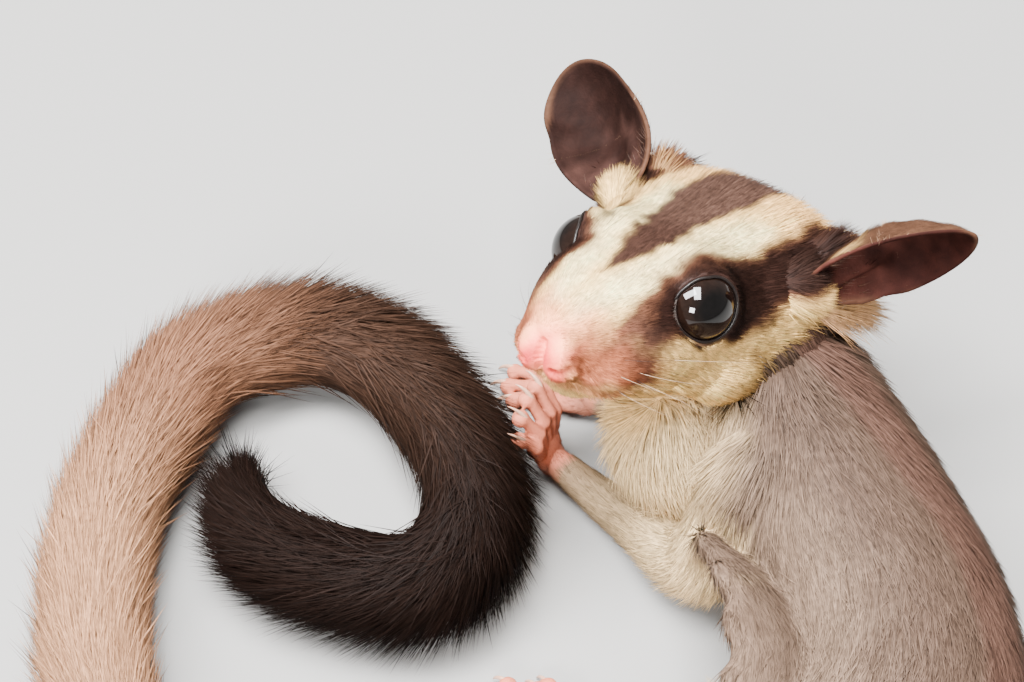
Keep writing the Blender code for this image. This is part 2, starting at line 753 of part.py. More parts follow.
def part_cone(line, station):
    """A thin cone round the tail, from its middle out past the tips of the locks, which lie along it."""
    run, _ = line
    start = run[int(round(station * LINE_STEPS))]
    sides = 10
    near = ((0.0, 0.12), (0.0, CORE_SHARE * 0.8), (0.12, CORE_SHARE), (1.0, PART_REACH))
    rings = []
    for shift, profile in ((0.0, near), (PART_GAP, near[::-1])):
        for share, reach in profile:
            point, radius, _, side, up = tail_place(line, start + PART_SPREAD * share + shift)
            rings.append(
                [
                    point + (side * math.cos(t) + up * math.sin(t)) * (radius * reach)
                    for t in (2 * math.pi * k / sides for k in range(sides))
                ]
            )
    return loft("part_cone", rings)


def tail_coat(core):
    """Joins the locks to the core of the tail, in rings set between the locks of the ring before."""
    run, rows = tail_line()
    begin = run[int(round(TAIL_START * LINE_STEPS))] + 1.0
    draw = np.random.default_rng(SEED)
    locks = []
    count = int((run[-1] - begin) / LOCK_SPACING)
    for n in range(count + 1):
        for k in range(LOCKS_AROUND):
            turn = 2 * math.pi * (k + 0.5 * (n % 2) + 0.16 * draw.uniform(-1, 1)) / LOCKS_AROUND
            at = begin + LOCK_SPACING * (n + 0.22 * draw.uniform(-1, 1))
            size = min(draw.uniform(0.85, 1.08), (run[-1] + TIP_REACH - at) / LOCK["length"])
            locks.append(lock((run, rows), at, turn, size, LOCK_DRIFT * draw.uniform(-1, 1)))
    return fused(core, locks)


def fused(obj, pieces):
    """Joins closed pieces to a body in one Boolean union on a collection."""
    group = bpy.data.collections.new(obj.name + "_pieces")
    bpy.context.scene.collection.children.link(group)
    for piece in pieces:
        bpy.context.scene.collection.objects.unlink(piece)
        group.objects.link(piece)
    modifier = obj.modifiers.new("Boolean", "BOOLEAN")
    modifier.operand_type = "COLLECTION"
    modifier.collection = group
    modifier.operation = "UNION"
    modifier.solver = "MANIFOLD"
    with_modifiers(obj)
    for piece in pieces:
        bpy.data.objects.remove(piece)
    bpy.data.collections.remove(group)
    return largest(obj)


def paint(obj, finish):
    colour, roughness = FINISHES[finish]
    material = bpy.data.materials.get(finish)
    if material is None:
        material = bpy.data.materials.new(finish)
        material.use_nodes = True
        shader = material.node_tree.nodes["Principled BSDF"]
        shader.inputs["Base Color"].default_value = (*colour, 1.0)
        shader.inputs["Roughness"].default_value = roughness
        shader.inputs["Metallic"].default_value = 0.0
    obj.data.materials.clear()
    obj.data.materials.append(material)
    obj.data.shade_smooth()


def build():
    clear_scene()
    place = head_matrix()
    eyes = {side: eye(side) for side in ("l", "r")}

    head = head_body()
    row, along = at_station(SPINE, HEAD_CUT)
    reach = 30.0
    boolean(head, disc("neck_side", vector(row[:3]) + along * (reach / 2), along, reach, reach))
    for side in ("l", "r"):
        boolean(head, copy_of(eyes[side], GAP))
        centre, radii = NOSTRIL
        boolean(head, ball("nostril", mirrored(centre, side), radii, place, segments=10))
    mouth = [(x, -y, z) for x, y, z in MOUTH_LINE[:0:-1]] + list(MOUTH_LINE)
    for cutter in [groove_cutter(head, line) for line in (mouth, NOSE_GROOVE)]:
        boolean(head, cutter)
    head = largest(head)

    ears = {side: clear_of(ear(side), head) for side in ("l", "r")}

    pieces = [tube("trunk", SPINE, sides=28), ball("breast", *BREAST)]
    trunk = blend("trunk", pieces, BODY_VOXEL, TRIANGLES["trunk"], smoothing=12)
    reach = 40.0
    row, along = at_station(SPINE, HEAD_CUT)
    boolean(trunk, disc("head_side", vector(row[:3]) - along * (reach / 2 - GAP), along, reach, reach))
    for piece in (*ears.values(), head):
        boolean(trunk, copy_of(piece, GAP))
    trunk = flat_under(largest(trunk))

    core = [tube("core", tail_rows(CORE_SHARE), sides=20)]
    tail = blend("tail", core, BODY_VOXEL * 0.7, TRIANGLES["tail"])
    tail = tail_coat(tail)
    envelope = blend("envelope", [tube("envelope", tail_rows(), sides=20)], BODY_VOXEL, 1200)
    row, along = at_station(TAIL, TAIL_START)
    boolean(tail, disc("root_side", vector(row[:3]) - along * (reach / 2 - GAP), along, reach / 2, reach))
    boolean(trunk, disc("tail_side", vector(row[:3]) + along * (reach / 4), along, reach / 3, reach / 2))
    trunk = largest(trunk)
    tail = flat_under(largest(tail))

    nodes = {"head": head, "ear_l": ears["l"], "ear_r": ears["r"], "eye_l": eyes["l"], "eye_r": eyes["r"]}
    solids = [head, trunk, envelope]

    for name in LIMBS:
        is_arm = name.startswith("arm")
        paw_name = name.replace("arm", "hand") if is_arm else name.replace("leg", "foot")
        foot = flat_under(clear_of(paw(paw_name), envelope))
        whole = flat_under(clear_of(limb(name), *solids, foot))
        upper, lower = ("upper_arm", "forearm") if is_arm else ("thigh", "shank")
        rows = [row[:3] for row in LIMBS[name]]
        names = [f"{upper}_{name[-1]}", f"{lower}_{name[-1]}"]
        pieces = parted(whole, names, rows, discs(rows, (LIMB_CUT + 0.35,), LIMBS[name][1][3] * 2.2))
        nodes[paw_name] = largest(foot)
        solids += [nodes[paw_name], *pieces]
        for piece in pieces:
            nodes[piece.name] = piece

    for side in ("l", "r"):
        fold = flat_under(clear_of(membrane(side), *solids))
        nodes["membrane_" + side] = fold = largest(fold)
        solids.append(fold)

    bpy.data.objects.remove(envelope)
    cuts = discs(SPINE, (NECK_CUT, CHEST_CUT, BELLY_CUT), 26.0)
    for piece in parted(trunk, ["neck", "chest", "belly", "rump"], SPINE, cuts):
        nodes[piece.name] = piece
    names = [f"tail_{n + 1}" for n in range(len(TAIL_CUTS) + 1)]
    cuts = [part_cone(tail_line(), station) for station in TAIL_CUTS]
    for piece in parted(tail, names, TAIL, cuts):
        nodes[piece.name] = piece
    return nodes


def finish_of(name):
    if name.startswith("tail"):
        return "fur_tail"
    words = {"eye": "eye", "ear": "ear", "head": "fur_face", "hand": "skin", "foot": "skin"}
    for word, finish in words.items():
        if name.startswith(word):
            return finish
    return "fur_back"


def main():
    nodes = build()
    model = bpy.data.collections.new("sugar_glider")
    bpy.context.scene.collection.children.link(model)
    corners = [v.co for obj in nodes.values() for v in obj.data.vertices]
    low = Vector(tuple(min(c[k] for c in corners) for k in range(3)))
    high = Vector(tuple(max(c[k] for c in corners) for k in range(3)))
    shift = Vector((-(low.x + high.x) / 2, -(low.y + high.y) / 2, -low.z))
    for name, obj in nodes.items():
        obj.data.transform(Matrix.Translation(shift))
        obj.name = name
        obj.data.name = name
        for collection in list(obj.users_collection):
            collection.objects.unlink(obj)
        model.objects.link(obj)
        paint(obj, finish_of(name))


main()
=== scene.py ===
import math

import bmesh
import bpy
import numpy as np
from mathutils import Matrix, Vector
from mathutils.kdtree import KDTree


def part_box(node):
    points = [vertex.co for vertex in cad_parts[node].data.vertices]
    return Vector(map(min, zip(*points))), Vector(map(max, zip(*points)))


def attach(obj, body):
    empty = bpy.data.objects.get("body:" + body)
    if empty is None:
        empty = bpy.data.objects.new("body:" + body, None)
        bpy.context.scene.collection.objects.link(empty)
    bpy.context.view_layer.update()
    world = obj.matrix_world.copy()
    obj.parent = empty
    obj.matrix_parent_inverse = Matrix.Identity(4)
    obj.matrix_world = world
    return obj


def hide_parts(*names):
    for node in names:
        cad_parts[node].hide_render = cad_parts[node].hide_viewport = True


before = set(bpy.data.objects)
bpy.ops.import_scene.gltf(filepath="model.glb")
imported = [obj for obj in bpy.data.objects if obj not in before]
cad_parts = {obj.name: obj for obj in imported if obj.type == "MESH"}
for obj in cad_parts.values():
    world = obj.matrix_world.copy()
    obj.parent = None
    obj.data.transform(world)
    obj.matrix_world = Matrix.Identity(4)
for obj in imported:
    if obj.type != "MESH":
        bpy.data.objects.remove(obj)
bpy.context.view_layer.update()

# The sugar glider's looks: one skin over its flesh, a coat of fine tufts in pieces, and eyes, ears, claws
# and whiskers of their own. Every point and size is in millimetres in the part's own pose until a mesh is
# made.

MM = 0.001
SEED = 11
EYE_RADIUS = 4.1
TAIL_RADIUS = 8.7
CLAW_LENGTH = 2.6

# Frame of the head: x to the nose, y to the animal's left, z up, origin midway between the eyes
HEAD_AT = (0.0, 0.0, 36.0)
HEAD_YAW, HEAD_PITCH, HEAD_ROLL = -133.4, 29.6, 8.2

# Stations of the head from the nose back: x, half width, top, height of the widest line, bottom, squareness
HEAD_SECTIONS = (
    (17.2, 1.6, -0.8, -3.0, -5.4, 2.0),
    (15.8, 3.4, 0.9, -3.0, -6.8, 2.0),
    (13.5, 5.3, 2.4, -3.0, -8.2, 2.0),
    (10.5, 7.5, 4.2, -2.8, -9.4, 2.1),
    (7.0, 9.4, 5.6, -2.4, -10.3, 2.2),
    (3.0, 10.9, 6.9, -2.0, -10.8, 2.3),
    (-2.0, 12.3, 8.1, -1.6, -11.1, 2.3),
    (-7.0, 13.6, 9.3, -1.4, -11.2, 2.4),
    (-12.0, 14.8, 10.5, -1.2, -11.0, 2.7),
    (-17.0, 15.0, 11.3, -1.2, -10.4, 2.9),
    (-21.5, 14.0, 10.6, -1.4, -9.4, 2.8),
    (-25.5, 10.8, 7.0, -1.6, -8.0, 2.3),
)
NOSE_BULB = ((15.5, 1.6, -3.8), (2.1, 2.0, 2.9))
NOSE_BRIDGE = ((14.6, 0.0, -1.2), (2.9, 2.5, 2.0))
WHISKER_PAD = ((10.0, 4.0, -5.2), (4.6, 3.5, 3.2))
CHEEK = ((-4.0, 8.4, -5.6), (7.6, 5.6, 5.2))
CHIN = ((9.0, 0.0, -8.2), (4.6, 3.6, 2.2))
EAR_ROOT = ((-12.2, 11.2, 3.8), (5.6, 4.4, 4.4))
BEHIND_EAR = ((-17.0, 11.5, 7.3), (4.5, 3.6, 3.0))
EYE_CENTRE = (1.0, 7.3, 2.1)
EYE_AXIS = (0.48, 0.82, 0.31)
ORBIT = {"sunk": 1.6, "radii": (3.8, 7.4, 6.4)}
# Opening of the lids: turn round the eye from its front corner over the top, angle from the eye's axis
LID_OPENING = (
    *((0, 74.0), (14, 64.5), (45, 54.0), (90, 48.0), (135, 54.5), (180, 62.0)),
    *((225, 63.0), (270, 62.5), (315, 60.0), (346, 65.5), (360, 74.0)),
)
LID_SHELL = (-0.3, 0.42)
LID_EDGE = 0.17
MOUTH_LINE = (
    (16.0, 0.0, -7.1),
    (13.6, 4.2, -7.4),
    (10.5, 7.2, -7.2),
    (7.4, 9.0, -6.9),
    (4.8, 9.9, -7.4),
)
NOSE_GROOVE = ((17.8, 0.0, -2.6), (17.4, 0.0, -5.0), (16.2, 0.0, -7.2))
NOSTRIL_LINE = ((17.0, 1.9, -5.2), (16.9, 2.7, -5.2), (16.3, 3.3, -4.5))
NOSE_WING = ((16.4, 3.3, -3.2), (15.3, 3.9, -3.8), (14.6, 4.2, -5.0))
NOSE_TIP = (16.4, 0.0, -3.6)

EAR_SHAPE = {"width": 12.6, "egg": 0.16, "cup": 4.2, "lean": 0.9}
MIDDLE_OF_EAR = 0.5
EAR_THICKNESS = 0.42
# Share of the leaf's width towards its two rims, at its tip and at its root, a notch in the second, and how
# blunt the tip is
EAR_TRIM = {"l": ((0.72, 0.66), (1.0, 1.0), 0.10, 0.0), "r": ((0.98, 0.68), (1.0, 1.1), 0.0, 0.3)}
EAR_FOLDS = {"l": 0.8, "r": 0.4}
EARS = {
    "l": {"root": (-12.0, 12.4, 4.6), "tip": (-18.0, 27.4, 14.6), "opens": (0.62, 0.42, -0.72)},
    "r": {"root": (-12.0, -12.4, 4.0), "tip": (-18.4, -28.9, 13.8), "opens": (0.94, 0.34, 0.0)},
}

# Spine from inside the head to the tail's root: point, half width, half height, roll onto the right side
SPINE = (
    (4.5, 5.0, 30.0, 9.5, 9.5, 0),
    (8.5, 6.6, 25.5, 10.8, 10.4, 5),
    (13.0, 3.0, 21.0, 12.0, 11.8, 15),
    (18.0, -5.5, 17.8, 13.4, 13.6, 25),
    (23.0, -18.0, 15.4, 14.8, 14.9, 35),
    (26.2, -32.0, 15.2, 15.8, 15.6, 45),
    (24.0, -48.0, 16.2, 17.0, 16.6, 52),
    (13.0, -63.0, 17.2, 18.6, 17.6, 58),
    (-2.0, -71.0, 15.6, 16.6, 16.4, 55),
    (-15.0, -72.6, 12.4, 12.2, 12.4, 40),
    (-27.0, -70.0, 10.2, 9.2, 9.6, 20),
)
BREAST = ((6.6, -1.5, 13.6), (12.0, 11.0, 12.0))

# Tail from inside the rump to its tip: point and radius as a share of TAIL_RADIUS
TAIL = (
    (-20.0, -72.0, 11.4, 0.90),
    (-31.0, -68.5, 9.6, 0.90),
    (-42.0, -61.0, 8.4, 0.94),
    (-52.0, -48.0, 8.2, 1.00),
    (-58.4, -32.0, 8.2, 1.00),
    (-60.0, -15.0, 8.2, 1.00),
    (-57.2, -1.0, 8.2, 1.00),
    (-51.6, 10.8, 8.2, 1.00),
    (-41.5, 16.4, 8.2, 1.00),
    (-31.8, 14.6, 8.2, 1.00),
    (-24.2, 7.2, 8.2, 1.00),
    (-19.8, -1.4, 8.2, 1.00),
    (-19.2, -10.4, 8.2, 1.00),
    (-23.4, -16.6, 8.2, 1.00),
    (-32.0, -17.0, 8.2, 0.97),
    (-39.8, -13.8, 7.8, 0.88),
    (-44.0, -8.0, 6.8, 0.64),
    (-44.4, -4.4, 6.0, 0.38),
)
TAIL_SKIN = 0.5

# Limbs: shoulder or hip, elbow or knee, wrist or ankle, with the radii there
LIMBS = {
    "arm_l": ((13.5, -12, 21, 7.2), (7.5, -15, 8.4, 5.2), (0.5, -8, 4.6, 3.4), (-9.2, 2.5, 3.5, 1.9)),
    "arm_r": ((15, 0, 16, 7), (9.5, 4, 7, 5), (3, 8.4, 4.2, 3.2), (-4.8, 12.4, 2.8, 1.9)),
    "leg_l": ((3.5, -66, 23, 10), (7, -47.5, 19.5, 7.6), (-3.5, -49, 9.6, 4.2), (-13, -53, 4.2, 2.4)),
    "leg_r": ((8, -62, 10, 9), (5.6, -47, 7.4, 6.4), (1, -43, 4.6, 3.8), (-4, -39, 3.2, 2.3)),
}

# Hands and feet: wrist or ankle, the way the digits point, the way the back of the hand faces
PAWS = {
    "hand_l": ((-9.4, 2.9, 3.0), (-0.26, 0.14, 1.0), (0.9, -0.35, 0.25)),
    "hand_r": ((-5.2, 12.6, 1.8), (-0.85, 0.52, -0.02), (0.05, 0.05, 1.0)),
    "foot_l": ((-13.0, -53.0, 3.15), (-0.62, 0.78, -0.08), (0.1, 0.1, 1.0)),
    "foot_r": ((-4.2, -38.8, 2.55), (-0.62, 0.78, -0.04), (0.1, 0.1, 1.0)),
}
HAND_DIGITS = ((-2.1, -26, 4.6), (-1.1, -12, 6.2), (0.0, 0, 6.8), (1.1, 12, 6.4), (2.0, 25, 5.0))
FOOT_DIGITS = ((-1.7, -8, 6.0), (-0.9, -3, 6.2), (0.5, 4, 8.6), (1.8, 12, 7.8))
THUMB = (-1.9, -62, 5.2)
HAND_SIZE = {"palm": 4.6, "half_width": 2.7, "half_height": 1.25, "digit": 0.86, "pad": 1.08}
FOOT_SIZE = {"palm": 9.4, "half_width": 2.9, "half_height": 1.5, "digit": 0.95, "pad": 1.2}

# Gliding membrane, folded along each flank: point, half width, half thickness, and the way its face looks
MEMBRANES = {
    "l": (
        (7.4, -15.0, 12.0, 2.6, 1.4, 120),
        (8.6, -21.0, 17.0, 4.6, 2.0, 128),
        (11.0, -30.0, 22.6, 5.6, 2.3, 138),
        (11.6, -40.0, 26.2, 5.6, 2.3, 145),
        (9.4, -49.0, 27.4, 4.6, 2.0, 145),
        (5.6, -56.0, 26.4, 2.6, 1.4, 145),
    ),
    "r": (
        (31.0, -8.0, 2.6, 3.0, 1.6, -12),
        (37.0, -18.0, 2.6, 4.6, 2.2, -12),
        (40.4, -32.0, 2.6, 5.2, 2.4, -12),
        (38.6, -48.0, 2.6, 5.2, 2.4, -12),
        (30.0, -66.0, 2.6, 5.0, 2.2, -12),
        (17.0, -77.0, 2.6, 3.6, 1.7, -12),
    ),
}
SCALLOP, SCALLOPS = 0.13, 6
THROAT_LIE = (0.3, -0.55, -0.78)

# Colours, as linear red, green and blue
CREAM = (0.97, 0.61, 0.215)
PALE = (0.98, 0.76, 0.36)
RUFF = (0.72, 0.40, 0.20)
CROWN = (0.92, 0.50, 0.18)
BROWN = (0.12, 0.050, 0.028)
STRIPE = (0.088, 0.047, 0.034)
STRIPE_FRONT = (0.040, 0.018, 0.013)
EYE_RING = (0.017, 0.0075, 0.0055)
TEMPLE = (0.018, 0.0090, 0.0068)
PEACH = (0.88, 0.29, 0.145)
SNOUT = (0.42, 0.128, 0.060)
SNOUT_DARK = (0.085, 0.042, 0.029)
NOSE = (0.90, 0.175, 0.115)
NOSE_RED = (0.48, 0.022, 0.030)
BACK = (0.072, 0.045, 0.032)
FLANK = (0.13, 0.086, 0.060)
BELLY = (0.74, 0.52, 0.27)
TAIL_LIGHT = (0.34, 0.175, 0.095)
TAIL_MIDDLE = (0.21, 0.098, 0.055)
TAIL_BROWN = (0.032, 0.016, 0.010)
TAIL_DARK = (0.0065, 0.0034, 0.0026)
PAW_PINK = (0.46, 0.135, 0.078)
# Inside of the ears, one tone for each side: the right ear's darker tones are painted shade
EAR_INSIDE_SHADED_BY_SIDE = {"l": (0.016, 0.0046, 0.0034), "r": (0.0085, 0.0034, 0.0026)}
EAR_PINK_SHADED_BY_SIDE = {"l": (0.040, 0.0125, 0.0095), "r": (0.026, 0.012, 0.0095)}
EAR_BACK = (0.070, 0.033, 0.019)
LID = (0.006, 0.004, 0.0035)
EAR_HAIR = (0.30, 0.19, 0.12)
WHISKER_DARK = (0.02, 0.012, 0.010)
WHISKER_LIGHT = (0.45, 0.31, 0.20)
PUPIL = (0.0010, 0.0008, 0.0008)
IRIS = (0.0050, 0.0022, 0.0013)
EYE_WHITE = (0.42, 0.36, 0.33)
CLAW, CLAW_TIP = (0.50, 0.29, 0.20), (0.40, 0.21, 0.14)
FLOOR = (0.235, 0.231, 0.225)

# Tufts: how far they start under the skin, their bend, and their room over the skin and over the floor.
# Then the share of dark hairs, a root's share of the tip's tone (a painted shade deep in the coat), the part
# of the skin's normal in their shading, and the half size of each tuft's patch of the unwrap
TUFT_SINK, TUFT_BEND, TIP_CLEAR, FLOOR_CLEAR = 0.12, 0.45, 0.34, 0.06
DARK_HAIRS, ROOT_PAINTED_SHADE, SOFT_SHADING, PATCH = 0.13, 0.66, 1.6, 0.0015

# Pieces of the coat: tufts, their width, lift and spread, the seed and the material
COATS = {
    "coat_face": (48000, 0.08, 0.22, 0.15, 50, "fur_face"),
    "coat_brow": (44000, 0.08, 0.22, 0.15, 60, "fur_face"),
    "coat_nape": (32000, 0.08, 0.22, 0.15, 70, "fur_face"),
    "coat_ruff": (9000, 0.08, 1.05, 0.3, 75, "fur_face"),
    "coat_ear_root": (6000, 0.07, 0.5, 0.3, 77, "fur_face"),
    "coat_chest": (36000, 0.11, 0.22, 0.2, 80, "fur_back"),
    "coat_back": (26000, 0.11, 0.22, 0.2, 90, "fur_back"),
    "coat_rump": (24000, 0.11, 0.22, 0.2, 100, "fur_back"),
    "coat_tail_root": (22000, 0.125, 0.42, 0.24, 110, "fur_tail"),
    "coat_tail": (25000, 0.125, 0.42, 0.24, 115, "fur_tail"),
    "coat_tail_end": (25000, 0.125, 0.42, 0.24, 120, "fur_tail"),
    "coat_paws": (6000, 0.05, 0.3, 0.25, 130, "fur_back"),
}
EAR_COAT = (9000, 0.055, 0.16, 0.15, 140)

# Materials: roughness, specular level and clear coat; then scale, least and most share, detail and
# distortion of the colour's noise; then scale, strength and distance of the bumps, if any
MATERIALS = {
    "skin": ((0.55, 0.1), (900.0, 0.86, 1.06), (3800.0, 0.35, 0.0003)),
    "fur_face": ((0.62, 0.04), (1400.0, 0.85, 1.12, 0.0), None),
    "fur_back": ((0.55, 0.04), (1400.0, 0.85, 1.12, 0.0), None),
    "fur_tail": ((0.6, 0.04), (1400.0, 0.85, 1.12, 0.0), None),
    "ear": ((0.7, 0.04), (700.0, 0.8, 1.12, 2.0, 1.0), (2600.0, 0.3, 0.0002)),
    "eye": ((0.03, 0.4), (1500.0, 0.7, 1.3), None),
    "lid": ((0.35, 0.25), (2600.0, 0.7, 1.25), (6000.0, 0.3, 0.0001)),
    "claw": ((0.28, 0.5, 0.2), (2200.0, 0.85, 1.1), None),
    "whisker": ((0.4, 0.4), (400.0, 0.9, 1.1), None),
}

# Lights in metres: place, width, depth and power
LIGHTS = {
    "pane_left": ((-0.26, -0.07, 0.67), 0.22, 0.44, 23.0),
    "pane_right": ((-0.01, -0.07, 0.67), 0.22, 0.44, 23.0),
    "front": ((-0.35, -0.95, 0.62), 0.3, 0.3, 28.0),
}
AIM = (-0.01, 0.0, 0.02)
WORLD_COLOUR, WORLD_POWER = (1.0, 0.98, 0.95), 0.46
FLOOR_SIZE = 3.0
CAMERA_AT, CAMERA_TILT, LENS = (-14.06, -200.50, 267.03), 40.0, 100.0


def vector(values):
    return Vector(tuple(float(v) for v in values))


def frame_from(forward, up, origin):
    x = vector(forward).normalized()
    y = vector(up).cross(x).normalized()
    z = x.cross(y)
    return Matrix.Translation(vector(origin)) @ Matrix((x, y, z)).transposed().to_4x4()


def head_matrix():
    yaw, pitch, roll = (math.radians(a) for a in (HEAD_YAW, HEAD_PITCH, HEAD_ROLL))
    forward = Vector((math.cos(pitch) * math.cos(yaw), math.cos(pitch) * math.sin(yaw), math.sin(pitch)))
    level_left = Vector((-math.sin(yaw), math.cos(yaw), 0.0))
    level_up = forward.cross(level_left)
    left = level_left * math.cos(roll) + level_up * math.sin(roll)
    return frame_from(forward, forward.cross(left), HEAD_AT)


HEAD = head_matrix()
HEAD_TURN = np.array(HEAD.to_3x3())


def to_head(points):
    return (points - np.array(HEAD_AT)) @ HEAD_TURN


def from_head(points):
    return np.asarray(points, float) @ HEAD_TURN.T + np.array(HEAD_AT)


def side_sign(side):
    return 1.0 if side == "l" else -1.0


def mirrored(point, side):
    return (point[0], point[1] * side_sign(side), point[2])


eye_low, eye_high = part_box("eye_l")
SHIFT = np.array((eye_low + eye_high) / 2) / MM - from_head([EYE_CENTRE])[0]


def flow(rows, steps):
    """Smooth rows of numbers through the given ones, steps to each span, by Catmull-Rom."""
    rows = np.array(rows, float)
    ends = np.vstack([2 * rows[0] - rows[1], rows, 2 * rows[-1] - rows[-2]])
    made = []
    for i in range(1, len(ends) - 2):
        a, b, c, d = ends[i - 1 : i + 3]
        for k in range(steps):
            t = k / steps
            bend = (2 * a - 5 * b + 4 * c - d) * t**2 + (3 * b - a - 3 * c + d) * t**3
            made.append(0.5 * (2 * b + (c - a) * t + bend))
    made.append(rows[-1])
    return np.array(made)


def smooth_step(low, high, values):
    t = np.clip((values - low) / (high - low), 0.0, 1.0)
    return t * t * (3 - 2 * t)


def unit(vectors):
    return vectors / np.maximum(np.linalg.norm(vectors, axis=1, keepdims=True), 1e-9)


def linked(name, data):
    obj = bpy.data.objects.new(name, data)
    bpy.context.scene.collection.objects.link(obj)
    return obj


def mesh_object(name, points, faces):
    """An object of points in millimetres and faces of one size."""
    mesh = bpy.data.meshes.new(name)
    faces = np.asarray(faces, np.int32)
    mesh.vertices.add(len(points))
    mesh.vertices.foreach_set("co", ((np.asarray(points, float) + SHIFT) * MM).ravel())
    mesh.loops.add(faces.size)
    mesh.loops.foreach_set("vertex_index", faces.ravel())
    mesh.polygons.add(len(faces))
    mesh.polygons.foreach_set("loop_start", np.arange(0, faces.size, faces.shape[1], dtype=np.int32))
    mesh.update(calc_edges=True)
    mesh.shade_smooth()
    return linked(name, mesh)


def closed_grid(name, points, rings, turns):
    """An object of rings of points, joined where they meet."""
    faces = []
    for i in range(rings):
        for k in range(turns):
            j = (k + 1) % turns
            faces.append((i * turns + k, (i + 1) * turns + k, (i + 1) * turns + j, i * turns + j))
    obj = mesh_object(name, points, faces)
    bm = bmesh.new()
    bm.from_mesh(obj.data)
    bmesh.ops.remove_doubles(bm, verts=bm.verts, dist=1e-7)
    bmesh.ops.recalc_face_normals(bm, faces=bm.faces)
    bm.to_mesh(obj.data)
    bm.free()
    return obj


def from_bmesh(name, bm):
    mesh = bpy.data.meshes.new(name)
    bm.to_mesh(mesh)
    bm.free()
    return linked(name, mesh)


def object_from(name, bm):
    """A temporary object of a bmesh in millimetres, without the shift."""
    bmesh.ops.recalc_face_normals(bm, faces=bm.faces)
    bmesh.ops.scale(bm, vec=(MM, MM, MM), verts=bm.verts)
    return from_bmesh(name, bm)


def with_modifiers(obj):
    bpy.context.view_layer.update()
    graph = bpy.context.evaluated_depsgraph_get()
    made = bpy.data.meshes.new_from_object(obj.evaluated_get(graph), depsgraph=graph)
    old = obj.data
    obj.modifiers.clear()
    obj.data = made
    bpy.data.meshes.remove(old)
    return obj


def loft(name, rings):
    bm = bmesh.new()
    rows = [[bm.verts.new(p) for p in ring] for ring in rings]
    for low, high in zip(rows, rows[1:]):
        for i in range(len(low)):
            j = (i + 1) % len(low)
            bm.faces.new((low[i], low[j], high[j], high[i]))
    for row in (rows[0], rows[-1]):
        centre = bm.verts.new(sum((v.co for v in row), Vector()) / len(row))
        for i in range(len(row)):
            bm.faces.new((row[i], row[(i + 1) % len(row)], centre))
    return object_from(name, bm)


def tube(name, rows, sides=32, steps=5, scallop=0.0, inset=lambda r: 0.0):
    """A body of elliptical sections. A row is a point, a half width, a half height and a roll in degrees."""
    end_shares = (0.35, 0.75)
    dense = flow(rows, steps)
    last = len(dense) - 1
    tangents = [
        vector(dense[min(i + 1, last)][:3] - dense[max(i - 1, 0)][:3]).normalized() for i in range(last + 1)
    ]
    rings = []

    def ring(row, along, shift, share):
        point = vector(row[:3]) + along * shift
        side = along.cross(Vector((0, 0, 1)))
        side = (side if side.length > 0.2 else along.cross(Vector((0, 1, 0)))).normalized()
        up = side.cross(along)
        roll = math.radians(row[5])
        side, up = side * math.cos(roll) - up * math.sin(roll), up * math.cos(roll) + side * math.sin(roll)
        across, rise = (row[3] - inset(row[3])) * share, (row[4] - inset(row[4])) * share
        turns = [2 * math.pi / sides * i for i in range(sides)]
        return [point + side * (across * math.cos(t)) + up * (rise * math.sin(t)) for t in turns]

    for share in end_shares:
        rings.append(ring(dense[0], tangents[0], -dense[0][4] * math.sqrt(1 - share**2) * 0.8, share))
    for i, (row, along) in enumerate(zip(dense, tangents)):
        row = row.copy()
        row[3] *= 1.0 + scallop * math.sin(2 * math.pi * SCALLOPS * i / len(dense))
        rings.append(ring(row, along, 0.0, 1.0))
    for share in end_shares[::-1]:
        rings.append(ring(dense[-1], tangents[-1], dense[-1][4] * math.sqrt(1 - share**2) * 0.8, share))
    return loft(name, rings)


def ball(name, centre, radii, matrix=None, segments=24, inset=0.0):
    bm = bmesh.new()
    bmesh.ops.create_uvsphere(bm, u_segments=segments, v_segments=segments * 2 // 3, radius=1.0)
    place = Matrix.Translation(vector(centre)) @ Matrix.Diagonal((*(r - inset for r in radii), 1.0))
    bmesh.ops.transform(bm, matrix=(matrix or Matrix()) @ place, verts=bm.verts)
    return object_from(name, bm)


def blend(name, pieces, voxel, smoothing):
    """One smooth closed body of overlapping pieces."""
    bm = bmesh.new()
    for piece in pieces:
        bm.from_mesh(piece.data)
        bpy.data.objects.remove(piece)
    obj = from_bmesh(name, bm)
    remesh = obj.modifiers.new("Remesh", "REMESH")
    remesh.mode = "VOXEL"
    remesh.voxel_size = voxel * MM
    smooth = obj.modifiers.new("Smooth", "SMOOTH")
    smooth.factor = 0.5
    smooth.iterations = smoothing
    return with_modifiers(obj)


def boolean(obj, other, operation="DIFFERENCE"):
    modifier = obj.modifiers.new("Boolean", "BOOLEAN")
    modifier.object = other
    modifier.operation = operation
    modifier.solver = "MANIFOLD"
    with_modifiers(obj)
    bpy.data.objects.remove(other)
    return obj


def points_of(obj, what="co"):
    values = np.empty(len(obj.data.vertices) * 3)
    obj.data.vertices.foreach_get(what, values)
    return values.reshape(-1, 3)


def triangles_of(obj):
    obj.data.calc_loop_triangles()
    faces = np.empty(len(obj.data.loop_triangles) * 3, np.int32)
    obj.data.loop_triangles.foreach_get("vertices", faces)
    return faces.reshape(-1, 3)


# The skin


def head_depth(x):
    """Depth of the coat on the head at x."""
    return np.interp(x, (-26, -12, 0, 8, 14, 17), (2.2, 1.5, 0.9, 0.6, 0.25, 0.05))


def limb_depth(radius):
    return 0.25 * max(radius - 1.4, 0.0)


